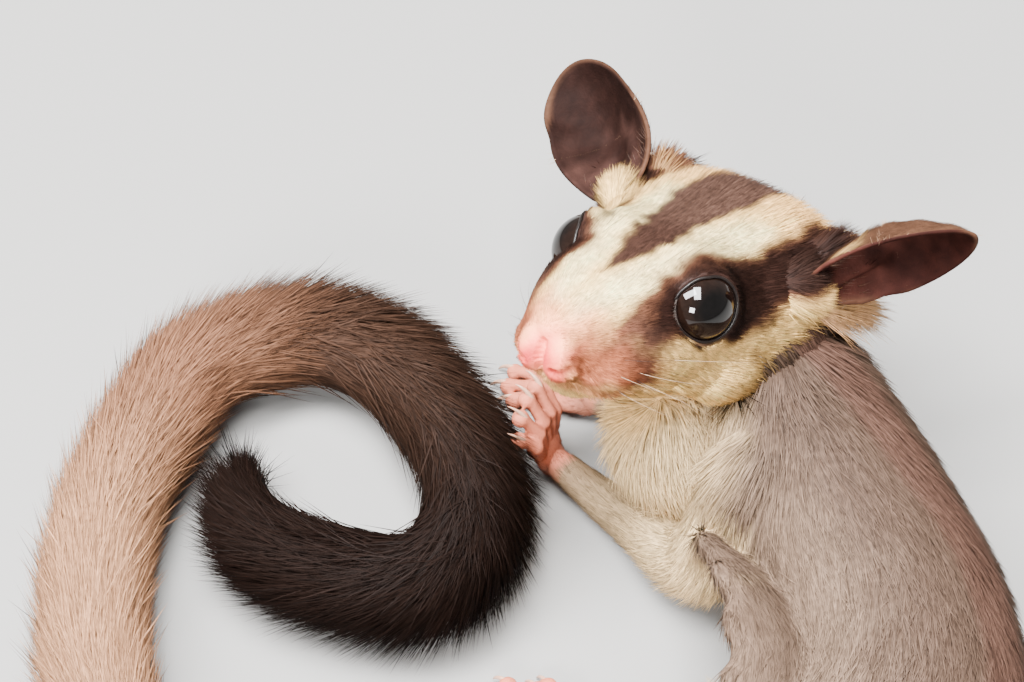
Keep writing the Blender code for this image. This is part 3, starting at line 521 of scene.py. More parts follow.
def head_flesh():
    sides = 48
    rings = []
    for x, half_width, top, widest, bottom, square in flow(HEAD_SECTIONS, 4):
        ring = []
        depth = head_depth(x)
        for i in range(sides):
            turn = 2 * math.pi * i / sides
            across, rise = math.cos(turn), math.sin(turn)
            reach = (top - widest if rise > 0 else widest - bottom) - depth
            across = math.copysign(abs(across) ** (2 / square), across)
            rise = math.copysign(abs(rise) ** (2 / square), rise)
            ring.append(HEAD @ Vector((x, (half_width - depth) * across, widest + reach * rise)))
        rings.append(ring)
    broad = [loft("skull", rings), ball("chin", *CHIN, HEAD, inset=0.5)]
    broad.append(tube("neck_start", SPINE[:3], inset=lambda r: 3.4))
    fine = [ball("bridge", *NOSE_BRIDGE, HEAD, inset=0.05)]
    for side in ("l", "r"):
        for label, (centre, radii), inset in (
            ("pad", WHISKER_PAD, 0.35),
            ("cheek", CHEEK, 1.6),
            ("ear_root", EAR_ROOT, 1.5),
            ("behind_ear", BEHIND_EAR, 1.3),
        ):
            broad.append(ball(label, mirrored(centre, side), radii, HEAD, inset=inset))
        axis = vector(mirrored(EYE_AXIS, side)).normalized()
        centre = vector(mirrored(EYE_CENTRE, side)) - axis * ORBIT["sunk"]
        socket = HEAD @ frame_from(axis, (0, 0, 1), centre)
        broad.append(ball("orbit", (0, 0, 0), ORBIT["radii"], socket, inset=0.45))
        fine.append(ball("nose", mirrored(NOSE_BULB[0], side), NOSE_BULB[1], HEAD))
        fine.append(lid_flesh(side))
    flesh = blend("flesh", broad, 0.45, 22)
    for side in ("l", "r"):
        boolean(flesh, lid_cone(side))
    head = blend("head_flesh", [flesh] + fine, 0.33, 3)
    for side in ("l", "r"):
        boolean(head, ball("eye_cut", mirrored(EYE_CENTRE, side), (EYE_RADIUS - 0.05,) * 3, HEAD, 48))
    return head


def lid_opening(count):
    """Turns round the eye, and the smoothed angle of the lids' edge from the eye's axis at each."""
    turns = np.arange(count) * 360.0 / count
    turn, angle = zip(*LID_OPENING)
    edge = np.interp(turns, turn, angle)
    for _ in range(3):
        edge = 0.25 * np.roll(edge, 1) + 0.5 * edge + 0.25 * np.roll(edge, -1)
    return np.radians(turns), np.radians(edge)


def eye_frame(side):
    """The eye's centre, its axis, and the ways to its front corner and up from there."""
    axis = vector(mirrored(EYE_AXIS, side)).normalized()
    ahead = Vector((1, 0, 0))
    ahead = (ahead - axis * ahead.dot(axis)).normalized()
    up = Vector((0, 0, 1))
    up = (up - axis * up.dot(axis) - ahead * up.dot(ahead)).normalized()
    return vector(mirrored(EYE_CENTRE, side)), axis, ahead, up


def round_eye(side, section, steps=96):
    """A closed band round the eye. Section gives each ring's angle past the lids' edge, and its radius."""
    centre, axis, ahead, up = eye_frame(side)
    bm = bmesh.new()
    rows = []
    for turn, edge in zip(*lid_opening(steps)):
        out = ahead * math.cos(turn) + up * math.sin(turn)
        row = []
        for past, radius in section:
            polar = min(edge + past / EYE_RADIUS, math.radians(86))
            way = axis * math.cos(polar) + out * math.sin(polar)
            row.append(bm.verts.new(HEAD @ (centre + way * radius)))
        rows.append(row)
    for low, high in zip(rows, rows[1:] + rows[:1]):
        for i in range(len(section)):
            j = (i + 1) % len(section)
            bm.faces.new((low[i], low[j], high[j], high[i]))
    return object_from("lid", bm)


def lid_cone(side, reach=4.0, flare=0.5):
    """A cutter through the opening of the lids, wider further out."""
    centre, axis, ahead, up = eye_frame(side)
    turns, edges = lid_opening(48)
    rings = []
    for share in (0.0, 0.35, 0.7, 1.0):
        radius = EYE_RADIUS - 0.4 + (reach + 0.4) * share
        ring = []
        for turn, edge in zip(turns, edges):
            out = ahead * math.cos(turn) + up * math.sin(turn)
            wide = (edge_width(edge) + flare * share) * (1 + 0.25 * share)
            ring.append(HEAD @ (centre + axis * (radius * math.cos(edge)) + out * wide))
        rings.append(ring)
    return loft("opening", rings)


def edge_width(edge):
    """How far the lids' edge stands from the eye's axis."""
    return EYE_RADIUS * math.sin(edge)


def lid_flesh(side):
    """The lids as a shell over the eye, open at its front."""
    low, high = (EYE_RADIUS + r for r in LID_SHELL)
    outside = [(0.12, high - 0.12), (0.3, high), (1.0, high + 0.1), (2.2, high + 0.1)]
    return round_eye(side, outside + [(2.2, low), (1.0, low), (0.02, low)])


def digit_line(size, offset, spread, length):
    angle = math.radians(spread)
    ahead = Vector((math.cos(angle), math.sin(angle), 0.0))
    root = Vector((size["palm"] * 0.72, offset, 0.0))
    knuckle = root + ahead * (0.45 * length) + Vector((0, 0, 0.55))
    tip = root + ahead * length + Vector((0, 0, -0.25))
    return root, knuckle, tip, ahead


def paw_digits(name):
    """Each digit in the paw's frame: root, knuckle, tip, the way it points, and if it has a claw."""
    is_foot = name.startswith("foot")
    size = FOOT_SIZE if is_foot else HAND_SIZE
    flip = side_sign(name[-1])
    made = []
    for offset, spread, length in FOOT_DIGITS if is_foot else HAND_DIGITS:
        made.append((*digit_line(size, -offset * flip, -spread * flip, length), True))
    if is_foot:
        shift = Vector((-0.42 * size["palm"], 0, 0))
        root, knuckle, tip, ahead = digit_line(size, -THUMB[0] * flip, -THUMB[1] * flip, THUMB[2])
        made.append((root + shift, knuckle + shift, tip + shift, ahead, False))
    return size, made


def paw_flesh(name):
    at, ahead, back = PAWS[name]
    place = frame_from(ahead, back, at)
    size, digits = paw_digits(name)
    palm = (size["palm"] * 0.62, size["half_width"], size["half_height"])
    pieces = [ball("palm", (size["palm"] * 0.42, 0, 0), palm, place)]
    pieces.append(ball("wrist", (0.2, 0, 0.1), (2.2, 2.0, 1.6), place))
    for root, knuckle, tip, forward, _ in digits:
        radius = size["digit"]
        rows = [
            (*(place @ point), radius * share, radius * share, 0)
            for point, share in ((root, 1.15), (knuckle, 1.02), (knuckle.lerp(tip, 0.5), 0.84), (tip, 0.86))
        ]
        pieces.append(tube("digit", rows, sides=14, steps=3))
        pieces.append(ball("pad", tip + Vector((-0.2, 0, -0.3)), (size["pad"],) * 3, place, 14))
        pieces.append(ball("joint", knuckle + Vector((0, 0, 0.05)), (radius * 1.12,) * 3, place, 12))
    for offset in (-0.6, 0.0, 0.6):
        centre = (size["palm"] * 0.75, offset * size["half_width"] * 1.2, -size["half_height"] * 0.62)
        pieces.append(ball("palm_pad", centre, (1.1, 0.85, 0.75), place, 14))
    return blend(name + "_flesh", pieces, 0.25, 3)


def body_flesh():
    pieces = [
        tube("trunk", SPINE, inset=lambda r: 2.6),
        ball("breast", *BREAST, inset=2.6),
        tube("tail", [(*row[:3], *(TAIL_RADIUS * TAIL_SKIN * row[3],) * 2, 0) for row in TAIL], sides=24),
    ]
    for name, rows in LIMBS.items():
        rows = [(*row[:3], row[3], row[3], 0) for row in rows]
        pieces.append(tube(name, rows, sides=24, inset=limb_depth))
    for rows in MEMBRANES.values():
        pieces.append(tube("fold", rows, sides=20, steps=8, scallop=SCALLOP, inset=lambda r: 0.7))
    return blend("body_flesh", pieces, 0.75, 5)


def refine(obj, centre, reach):
    """Halves the edges near a point of the head, for the muzzle's fine forms."""
    bm = bmesh.new()
    bm.from_mesh(obj.data)
    middle = Vector(from_head([centre])[0]) * MM
    edges = [e for e in bm.edges if (e.verts[0].co - middle).length < reach * MM]
    bmesh.ops.subdivide_edges(bm, edges=edges, cuts=1, use_grid_fill=True)
    bmesh.ops.triangulate(bm, faces=bm.faces)
    bm.to_mesh(obj.data)
    bm.free()


def distance_to(points, line):
    """Distance of each point to a dense line, and the place on it."""
    best = np.full(len(points), np.inf)
    index = np.zeros(len(points), int)
    for i, q in enumerate(line):
        d = ((points - q) ** 2).sum(1)
        closer = d < best
        best[closer] = d[closer]
        index[closer] = i
    return np.sqrt(best), index


def carve(obj, line, width, depth, both=True):
    """Presses a soft groove into the skin along a line of the head."""
    points, normals = points_of(obj) / MM, points_of(obj, "normal")
    for side in ("l", "r") if both else ("l",):
        dense = from_head([mirrored(p, side) for p in flow(line, 10)])
        dense = np.array([points[((points - q) ** 2).sum(1).argmin()] for q in dense])
        away, _ = distance_to(points, dense)
        points = points - normals * (depth * (1 - smooth_step(0.0, width, away)))[:, None]
    obj.data.vertices.foreach_set("co", (points * MM).ravel())
    obj.data.update()


def build_skin():
    skin = head_flesh()
    boolean(skin, body_flesh(), "UNION")
    for name in PAWS:
        boolean(skin, paw_flesh(name), "UNION")
    floor = bmesh.new()
    bmesh.ops.create_cube(floor, size=400.0)
    bmesh.ops.translate(floor, vec=(0, 0, -200.0), verts=floor.verts)
    boolean(skin, object_from("floor_cut", floor))
    refine(skin, (14.5, 0.0, -4.5), 5.5)
    carve(skin, MOUTH_LINE, 0.75, 0.55)
    carve(skin, NOSE_GROOVE, 0.75, 0.7, both=False)
    carve(skin, NOSTRIL_LINE, 0.62, 1.15)
    carve(skin, NOSE_WING, 0.6, 0.3)
    points = points_of(skin) / MM
    faces = triangles_of(skin)
    bpy.data.objects.remove(skin)
    return points, faces


# Lie and colour of the coat


class Line:
    """A line of the body with a radius at each place, and the way it runs."""

    def __init__(self, rows, steps=8):
        dense = flow(rows, steps)
        self.points, self.radius, self.rows = dense[:, :3], dense[:, 3], dense
        self.along = unit(np.gradient(self.points, axis=0))
        steps = np.linalg.norm(np.diff(self.points, axis=0), axis=1)
        self.run = np.concatenate([[0.0], np.cumsum(steps)])


def head_line():
    rows = []
    for x, half_width, top, _, bottom, _ in HEAD_SECTIONS[1:]:
        rows.append((*from_head([(x, 0.0, (top + bottom) / 2)])[0], (half_width + (top - bottom) / 2) / 2))
    return Line(rows, 4)


def body_lines():
    lines = {"head": head_line(), "spine": Line([(*r[:3], (r[3] + r[4]) / 2, r[5]) for r in SPINE])}
    for name, rows in LIMBS.items():
        lines[name] = Line(rows)
    for side, rows in MEMBRANES.items():
        lines["membrane_" + side] = Line([(*r[:3], (r[3] + r[4]) / 2) for r in rows])
    lines["tail"] = Line([(*r[:3], TAIL_RADIUS * TAIL_SKIN * r[3]) for r in TAIL])
    for name, (at, ahead, _) in PAWS.items():
        size = FOOT_SIZE if name.startswith("foot") else HAND_SIZE
        reach = vector(ahead).normalized() * (size["palm"] * 0.72 + 7.0)
        lines[name] = Line([(*at, 2.6), (*(vector(at) + reach * 0.5), 3.2), (*(vector(at) + reach), 3.6)])
    return lines


def waves(points, scale, seed):
    """Smooth noise between about -1 and 1."""
    draw = np.random.default_rng(seed)
    total = np.zeros(len(points))
    for _ in range(7):
        way = draw.normal(size=3)
        way *= draw.uniform(0.6, 1.7) / np.linalg.norm(way) / scale
        total += np.sin(points @ way * 2 * math.pi + draw.uniform(0, 6.3))
    return total / 2.6


def chain(points, places, soft):
    """How far inside a chain of rounded spots each point is, 0 to 1. A place is a point and its radius."""
    places = np.array(places, float)
    best = np.full(len(points), -np.inf)
    for a, b in zip(places, places[1:]):
        run = b[:3] - a[:3]
        t = np.clip(((points - a[:3]) @ run) / max(run @ run, 1e-9), 0, 1)
        reach = a[3] + (b[3] - a[3]) * t
        away = np.linalg.norm(points - (a[:3] + t[:, None] * run), axis=1)
        best = np.maximum(best, reach - away)
    return smooth_step(-soft, soft, best)


def spot(points, centre, radius, soft):
    return chain(points, ((*centre, radius),) * 2, soft)


def folded(h):
    """The head's points with both sides on its left."""
    return np.stack([h[:, 0], np.abs(h[:, 1]), h[:, 2]], 1)


def from_eyes(h):
    return np.minimum(*(np.linalg.norm(h - np.array(mirrored(EYE_CENTRE, s)), axis=1) for s in ("l", "r")))


def mix(colours, other, share):
    return colours + (np.asarray(other) - colours) * share[:, None]


def head_colour(points):
    """Colour of the coat and the skin on the head."""
    h = to_head(points)
    shaken = h + 0.35 * np.stack([waves(h, 5.0, 1), waves(h, 4.0, 2), waves(h, 4.5, 3)], 1)
    fold = folded(shaken)
    x, y, z = h.T
    # On the right side the ring's front lies lower and further out
    aside = fold - np.array((0.0, 1.3, -1.4)) * (smooth_step(4.5, 1.5, x) * (y < 0))[:, None]
    colour = np.tile(np.array(CREAM), (len(h), 1))

    def mark(where, tone, soft, *places, share=1.0):
        nonlocal colour
        colour = mix(colour, tone, chain(where, places, soft) * share)

    mark(fold, PALE, 1.6, (14, 1.5, 1.5, 1.5), (6, 4.5, 5, 2.6), (-4, 5.5, 8, 3.4), (-9, 6, 9, 2))
    colour = mix(colour, CROWN, smooth_step(-9, -18, x) * 0.8)
    colour = mix(colour, CROWN, 0.35 * smooth_step(3, 9, -z) * smooth_step(2, -8, x))
    path = (9.6, 0.1, 4.4, 0.2), (5.5, -0.1, 6.0, 1.5), (1.5, -0.2, 7.1, 2.1), (-4.0, -0.9, 8.3, 2.9)
    path += (-9.5, -1.9, 9.8, 4.1), (-14.0, -1.7, 10.8, 4.4), (-22.0, -0.6, 10.0, 3.4), (-30.0, 0, 8.0, 3.2)
    mark(shaken, STRIPE, 0.75, *path)
    mark(shaken, STRIPE_FRONT, 0.75, *path, share=smooth_step(-7.0, 1.0, x) * 0.7)
    path = (12.2, 5.2, 0.0, 1.0), (8.8, 6.8, 1.2, 2.7), (4.9, 7.4, 3.1, 3.9), (1.2, 8.7, 3.7, 5.5)
    path += (-3.4, 11.2, 4.2, 4.7), (-7.8, 11.8, 6.4, 3.9), (-12.5, 12.4, 8.2, 4.2), (-17.0, 11.8, 8.6, 4.0)
    mark(aside, BROWN, 1.0, *path)
    path = (9.0, 7.1, 0.6, 1.3), (7.2, 7.3, 1.7, 2.0), (4.4, 7.7, 2.9, 3.2), (1.2, 9.0, 3.4, 4.9)
    path += (-3.4, 11.4, 4.3, 3.8), (-8.0, 11.8, 6.8, 3.2), (-12.5, 12.6, 8.2, 3.7), (-17.0, 11.8, 8.4, 3.4)
    mark(aside, EYE_RING, 1.0, *path)
    colour = mix(colour, TEMPLE, spot(aside, (-11.5, 12.4, 6.6), 2.4, 1.6))
    colour = mix(colour, CREAM, spot(h, (-8.8, -12.2, 5.6), 2.7, 1.4) * 0.85)
    mark(fold, PEACH, 2.2, (16.8, 0.6, -1.0, 2.6), (14.6, 2.4, -0.6, 2.4), share=0.8)
    path = (15.2, 3.6, -2.6, 2.0), (14.2, 4.5, -4.2, 3.0), (12.2, 6.1, -3.2, 3.3)
    snout = chain(fold, (*path, (9.8, 7.9, -4.2, 2.7), (8.4, 8.8, -5.6, 1.4)), 1.8)
    path = (16.0, 0.5, -7.4, 1.4), (13.4, 4.2, -7.2, 1.7), (10.5, 7.4, -6.8, 1.3), (7.6, 9.0, -6.8, 0.7)
    lips = chain(fold, path, 1.2)
    from_eye = np.linalg.norm(fold - np.array(EYE_CENTRE), axis=1)
    colour = mix(colour, EYE_RING, 0.8 * (1 - smooth_step(4.8, 5.6, from_eye)))
    colour = mix(colour, SNOUT, np.maximum(snout, lips * 0.8))
    path = (13.0, 5.4, -1.0, 0.8), (11.0, 6.6, -0.6, 2.0), (9.2, 7.8, -1.8, 2.3), (8.8, 8.6, -4.6, 1.2)
    mark(fold, SNOUT_DARK, 1.5, *path, share=0.75)
    path = (-4.3, 13.0, -1.2, 0.35), (-5.6, 12.6, -3.4, 0.45), (-7.2, 11.6, -5.4, 0.3)
    mark(fold, BROWN, 0.5, *path, share=0.8)
    mark(fold, TEMPLE, 1.1, (-9.0, 14.8, -5.6, 1.9), (-12.0, 15.0, -4.2, 3.0), (-17.0, 14.0, -4.2, 3.4))
    mark(fold, CREAM, 1.5, (-21.0, 13.0, -5.5, 2.2), (-22.5, 13.0, 2.0, 2.0), share=0.9)
    colour = mix(colour, BROWN, spot(h, (-19.0, -12.5, 9.0), 4.6, 1.4))
    colour = mix(colour, NOSE, spot(fold, NOSE_TIP, 2.9, 1.6))
    path = (17.8, 0.3, -3.4, 0.8), (17.6, 0.8, -4.8, 1.4), (16.9, 2.2, -5.8, 1.4)
    mark(fold, NOSE_RED, 1.2, *path, share=0.85)
    return colour


def body_colour(points, region, lines, place):
    """Colour away from the head, by region and place along its line."""
    spine = lines["spine"]
    colour = np.tile(np.array(FLANK), (len(points), 1))
    away, index = distance_to(points, spine.points)
    along = spine.along[index]
    side = unit(np.cross(along, (0.0, 0.0, 1.0)))
    up = np.cross(side, along)
    roll = np.radians(spine.rows[index, 4])[:, None]
    dorsal = up * np.cos(roll) - side * np.sin(roll)
    out = unit(points - spine.points[index])
    back = (out * dorsal).sum(1) + 0.07 * waves(points, 9.0, 5)
    colour = mix(colour, BACK, smooth_step(0.1, 0.8, back))
    colour = mix(colour, BELLY, smooth_step(-0.25, -0.65, back))
    run = spine.run[index] / spine.run[-1]
    line = smooth_step(0.94, 0.985, (out * dorsal).sum(1)) * smooth_step(0.98, 0.8, run)
    colour = mix(colour, STRIPE, line)
    throat = spot(points, from_head([(2.0, 2.0, -15.0)])[0], 12.0, 5.0)
    colour = mix(colour, BELLY, throat)
    for name, line in lines.items():
        here = region == name
        if not here.any():
            continue
        share = place[here]
        if name.startswith(("arm", "leg")):
            tone = mix(colour[here], BACK, smooth_step(0.35, 0.7, share) * 0.7)
            tone = mix(tone, STRIPE, smooth_step(0.72, 0.9, share) * 0.4)
            colour[here] = mix(tone, PAW_PINK, smooth_step(0.9, 1.0, share))
        elif name.startswith(("hand", "foot")):
            tone = np.tile(np.array(PAW_PINK), (here.sum(), 1))
            colour[here] = mix(tone, FLANK, smooth_step(0.25, 0.0, share) * 0.5)
        elif name.startswith("membrane"):
            colour[here] = mix(colour[here], STRIPE, np.full(here.sum(), 0.15))
        elif name == "tail":
            tone = mix(colour[here], TAIL_LIGHT, smooth_step(0.03, 0.3, share))
            tone = mix(tone, TAIL_MIDDLE, smooth_step(0.36, 0.5, share))
            tone = mix(tone, TAIL_BROWN, smooth_step(0.49, 0.62, share))
            colour[here] = mix(tone, TAIL_DARK, smooth_step(0.60, 0.8, share) * 0.95)
    return colour


class Coat:
    """The skin's points with their region, lie, colour and length of fur."""

    def __init__(self, points, faces):
        self.points, self.faces, self.tree = points, faces, None
        lines = body_lines()
        score = np.full(len(points), np.inf)
        region = np.full(len(points), "spine", dtype=object)
        place = np.zeros(len(points))
        lie = np.zeros_like(points)
        for name, line in lines.items():
            away, index = distance_to(points, line.points)
            near = away / line.radius[index]
            if name.startswith(("hand", "foot")):
                near = near * 0.8
            closer = near < score
            score[closer] = near[closer]
            region[closer] = name
            place[closer] = (line.run[index] / line.run[-1])[closer]
            lie[closer] = line.along[index][closer]
        self.region, self.place, self.lines = region, place, lines
        front = ((region == "spine") | (region == "arm_r")) * smooth_step(0.3, 0.08, place)
        lie = lie * (1 - front)[:, None] + unit(np.array([THROAT_LIE])) * front[:, None]
        h = to_head(points)
        self.h = h
        on_head = (region == "head").astype(float)
        corner = points[faces]
        across = np.cross(corner[:, 1] - corner[:, 0], corner[:, 2] - corner[:, 0])
        normal = np.zeros_like(points)
        for k in range(3):
            np.add.at(normal, faces[:, k], across)
        self.normal = unit(normal)
        pairs = np.vstack([faces[:, [0, 1]], faces[:, [1, 2]], faces[:, [2, 0]]])
        self.edges = np.unique(np.sort(pairs, axis=1), axis=0)
        self.on_head = self.spread(on_head[:, None], 60)[:, 0]
        flow_head = h - np.array((19.0, 0.0, -3.0))
        for side in ("l", "r"):
            from_eye = h - np.array(mirrored(EYE_CENTRE, side))
            far = np.linalg.norm(from_eye, axis=1)
            flow_head += 26.0 * unit(from_eye) * np.exp(-np.clip(far - 4.0, 0, None) / 1.8)[:, None]
        head_lie = unit(flow_head) @ HEAD_TURN.T
        lie = lie * (1 - self.on_head)[:, None] + head_lie * self.on_head[:, None]
        lie = self.flat(self.spread(self.flat(lie), 90))
        self.calm = np.clip(np.linalg.norm(lie, axis=1) * 1.15, 0, 1)
        self.lie = unit(lie)
        self.colour = self.colour_at(points, region, place, self.on_head)
        self.set_lengths()

    def flat(self, vectors):
        return vectors - self.normal * (vectors * self.normal).sum(1)[:, None]

    def spread(self, values, times):
        """Averages values with their neighbours' along the skin."""
        a, b = self.edges.T
        count = np.bincount(a, minlength=len(self.points)) + np.bincount(b, minlength=len(self.points))
        for _ in range(times):
            total = np.empty_like(values)
            for k in range(values.shape[1]):
                at_a = np.bincount(a, values[b, k], len(self.points))
                total[:, k] = at_a + np.bincount(b, values[a, k], len(self.points))
            values = 0.5 * values + 0.5 * total / np.maximum(count, 1)[:, None]
        return values

    def colour_at(self, points, region, place, on_head):
        share = smooth_step(0.25, 0.85, on_head)
        body = body_colour(points, region, self.lines, place)
        return mix(body, head_colour(points), share)

    def set_lengths(self):
        h, region, place = self.h, self.region, self.place
        length = np.full(len(h), 5.6)
        for name in self.lines:
            here = region == name
            if name.startswith(("arm", "leg")):
                length[here] = np.interp(place[here], (0, 0.5, 0.85, 1.0), (5.6, 4.2, 2.0, 0.9))
            elif name.startswith(("hand", "foot")):
                length[here] = np.interp(place[here], (0, 0.3, 1.0), (0.9, 0.5, 0.3))
            elif name.startswith("membrane"):
                length[here] = 3.6
            elif name == "tail":
                length[here] = np.interp(place[here], (0, 0.12, 0.85, 1.0), (6.5, 9.4, 10.0, 8.0))
        head = np.interp(h[:, 0], (-24, -14, -6, 2, 8, 12, 15, 17), (4.8, 4.2, 3.3, 2.6, 2.1, 1.7, 1.2, 0.6))
        head = head * (0.42 + 0.58 * smooth_step(4.2, 7.5, from_eyes(h)))
        head = head + 1.6 * chain(folded(h), ((-17.0, 13.5, -2.0, 2.5), (-20.0, 12.5, -4.0, 2.5)), 2.0)
        share = self.on_head
        length = length * (1 - share) + head * share
        self.length = self.spread(length[:, None], 8)[:, 0]


# Tufts


def tuft_mesh(name, root, normal, lie, length, width, lift, low, high, uv):
    """Closed tapered tufts, each with three points round its root and a tip."""
    side = np.cross(lie, normal)
    bend = lift * TUFT_BEND
    points = np.empty((len(root), 4, 3))
    colour = np.ones((len(root), 4, 4))
    patch = np.empty((len(root), 4, 2))
    start = root - normal * TUFT_SINK
    rise = (lift - bend) * length - TUFT_SINK
    sway = side * (0.25 * bend * length)[:, None]
    points[:, 0] = start - side * width[:, None]
    points[:, 1] = start + normal * (0.8 * width)[:, None]
    points[:, 2] = start + side * width[:, None]
    points[:, 3] = root + lie * length[:, None] + normal * rise[:, None] + sway
    for k, corner in enumerate(((-1, -1), (0, -1), (1, -1), (0, 1))):
        patch[:, k] = uv + np.array(corner) * PATCH
    # The roots take the darker tone, a painted shade deep in the coat; the tips take the full tone
    colour[:, :3, :3] = low[:, None, :]
    colour[:, 3, :3] = high
    flat = points.reshape(-1, 3)
    flat[:, 2] = np.maximum(flat[:, 2], FLOOR_CLEAR)
    triangles = np.array(((0, 2, 1), (0, 1, 3), (1, 2, 3), (2, 0, 3)))
    faces = (triangles[None] + (np.arange(len(root)) * 4)[:, None, None]).reshape(-1, 3)
    obj = mesh_object(name, flat, faces)
    paint_points(obj, colour.reshape(-1, 4))
    soft = SOFT_SHADING * np.repeat(normal, 4, axis=0)
    obj.data.normals_split_custom_set_from_vertices(unit(points_of(obj, "normal") + soft))
    layer = obj.data.uv_layers.new(name="OFBake")
    layer.data.foreach_set("uv", patch.reshape(-1, 2)[faces.ravel()].ravel())
    return obj


def paint_points(obj, colours):
    """Gives the points their colours, as red, green and blue with or without an alpha."""
    colours = np.asarray(colours)
    if colours.shape[1] == 3:
        colours = np.concatenate([colours, np.ones((len(colours), 1))], 1)
    attribute = obj.data.color_attributes.new("Coat", "FLOAT_COLOR", "POINT")
    attribute.data.foreach_set("color", np.ascontiguousarray(colours, np.float32).ravel())


def unwrap(coat, points, h, region):
    """Each root's place on an unwrap of the skin: along its line and round it."""
    uv = np.empty((len(points), 2))
    names = sorted(coat.lines)
    for name, line in coat.lines.items():
        here = region == name
        if not here.any():
            continue
        if name == "head":
            run = (h[here, 0] + 28.0) / 47.0
            turn = np.arctan2(h[here, 1], h[here, 2] + 1.5)
        else:
            _, index = distance_to(points[here], line.points)
            run = line.run[index] / line.run[-1]
            along = line.along[index]
            side = unit(np.cross(along, (0.0, 0.0, 1.0)))
            out = points[here] - line.points[index]
            turn = np.arctan2((out * side).sum(1), (out * np.cross(side, along)).sum(1))
        uv[here, 0] = 0.01 + 0.98 * np.clip(run, 0, 1)
        uv[here, 1] = (names.index(name) + 0.04 + 0.92 * (turn / (2 * math.pi) + 0.5)) / len(names)
    return uv


def nearest_points(coat, at):
    """The skin's point nearest to each place."""
    if coat.tree is None:
        coat.tree = KDTree(len(coat.points))
        for i, point in enumerate(coat.points.tolist()):
            coat.tree.insert(point, i)
        coat.tree.balance()
    return np.array([coat.tree.find(place)[1] for place in at.tolist()])


def grow(coat, name, where, count, width, lift, spread, seed, density=None, tint=None):
    """Grows count tufts on the triangles whose corners all pass where, as one piece."""
    draw = np.random.default_rng(seed)
    faces = coat.faces[where[coat.faces].all(1)]
    corner = coat.points[faces]
    area = 0.5 * np.linalg.norm(np.cross(corner[:, 1] - corner[:, 0], corner[:, 2] - corner[:, 0]), axis=1)
    weight = area * (2.2 - 1.2 * coat.calm)[faces].mean(1)
    if density is not None:
        weight = weight * density[faces].mean(1)
    order = np.lexsort((corner[:, 0, 1] // 1.2, corner[:, 0, 2] // 1.2, corner[:, 0, 0] // 1.2))
    total = np.cumsum(weight[order])
    picks = (np.arange(count) + draw.random(count)) / count * total[-1]
    chosen = order[np.minimum(np.searchsorted(total, picks), len(order) - 1)]
    a, b = draw.random(count), draw.random(count)
    flip = a + b > 1
    a[flip], b[flip] = 1 - a[flip], 1 - b[flip]
    weights = np.stack([1 - a - b, a, b], 1)

    def read(values):
        return (values[faces[chosen]] * (weights[:, :, None] if values.ndim == 2 else weights)).sum(1)

    root, normal, lie = read(coat.points), unit(read(coat.normal)), read(coat.lie)
    length = read(coat.length) * draw.uniform(0.7, 1.15, count)
    on_head = read(coat.on_head)
    nearest = faces[chosen, weights.argmax(1)]
    region, place = coat.region[nearest], coat.place[nearest]
    clump = np.stack([waves(root, 2.6, seed + k) for k in range(3)], 1)
    lie = lie + spread * (0.55 * clump + 0.7 * draw.normal(size=(count, 3)))
    lie = unit(lie - normal * (lie * normal).sum(1)[:, None])
    depth = head_depth(to_head(root)[:, 0]) * on_head
    seen = root + lie * (0.55 * length)[:, None] + normal * depth[:, None]
    colour = coat.colour_at(seen, region, place, on_head)
    if tint is not None:
        colour = mix(colour, tint, np.clip(0.75 + 0.5 * clump[:, 0], 0.2, 1.0))
    tone = draw.uniform(0.7, 1.18, count) * (1 + 0.08 * waves(root, 3.0, seed + 7))
    tone = np.where(draw.random(count) < DARK_HAIRS, 0.55 * tone, tone)[:, None]
    high = np.clip(colour * tone, 0, 1)
    lifts = lift * draw.uniform(0.6, 1.4, count) * (3.0 - 2.0 * read(coat.calm))
    tip = root + lie * length[:, None]
    under = nearest_points(coat, tip)
    height = ((tip - coat.points[under]) * coat.normal[under]).sum(1)
    lifts = np.maximum(lifts, np.minimum((TIP_CLEAR - height) / (0.55 * length), 1.6))
    wide = width * draw.uniform(0.75, 1.25, count) * np.clip(length / np.median(length), 0.45, 1.2)
    uv = unwrap(coat, root, to_head(root), region)
    # The darker roots are painted shade deep in the coat
    return tuft_mesh(name, root, normal, lie, length, wide, lifts, high * ROOT_PAINTED_SHADE, high, uv)


# Materials


def principled(name, roughness, specular, coat=0.0):
    material = bpy.data.materials.new(name)
    material.use_nodes = True
    shader = material.node_tree.nodes["Principled BSDF"]
    shader.inputs["Roughness"].default_value = roughness
    shader.inputs["Specular IOR Level"].default_value = specular
    shader.inputs["Coat Weight"].default_value = coat
    return material, material.node_tree, shader


def node(tree, kind, **inputs):
    made = tree.nodes.new(kind)
    for key, value in inputs.items():
        made.inputs[key.replace("_", " ")].default_value = value
    return made


def coloured(tree, shader, scale, low, high, detail=2.0, distortion=0.0):
    """The Coat colour, varied by a fine noise between two shares of itself."""
    colour = tree.nodes.new("ShaderNodeAttribute")
    colour.attribute_name = "Coat"
    where = tree.nodes.new("ShaderNodeTexCoord")
    settings = {"Scale": scale, "Detail": detail, "Roughness": 0.6, "Distortion": distortion}
    noise = node(tree, "ShaderNodeTexNoise", **settings)
    tree.links.new(where.outputs["Object"], noise.inputs["Vector"])
    spread = node(tree, "ShaderNodeMapRange", From_Min=0.3, From_Max=0.7, To_Min=low, To_Max=high)
    tree.links.new(noise.outputs["Fac"], spread.inputs["Value"])
    scaled = tree.nodes.new("ShaderNodeVectorMath")
    scaled.operation = "SCALE"
    tree.links.new(colour.outputs["Color"], scaled.inputs[0])
    tree.links.new(spread.outputs["Result"], scaled.inputs["Scale"])
    tree.links.new(scaled.outputs["Vector"], shader.inputs["Base Color"])
    return where


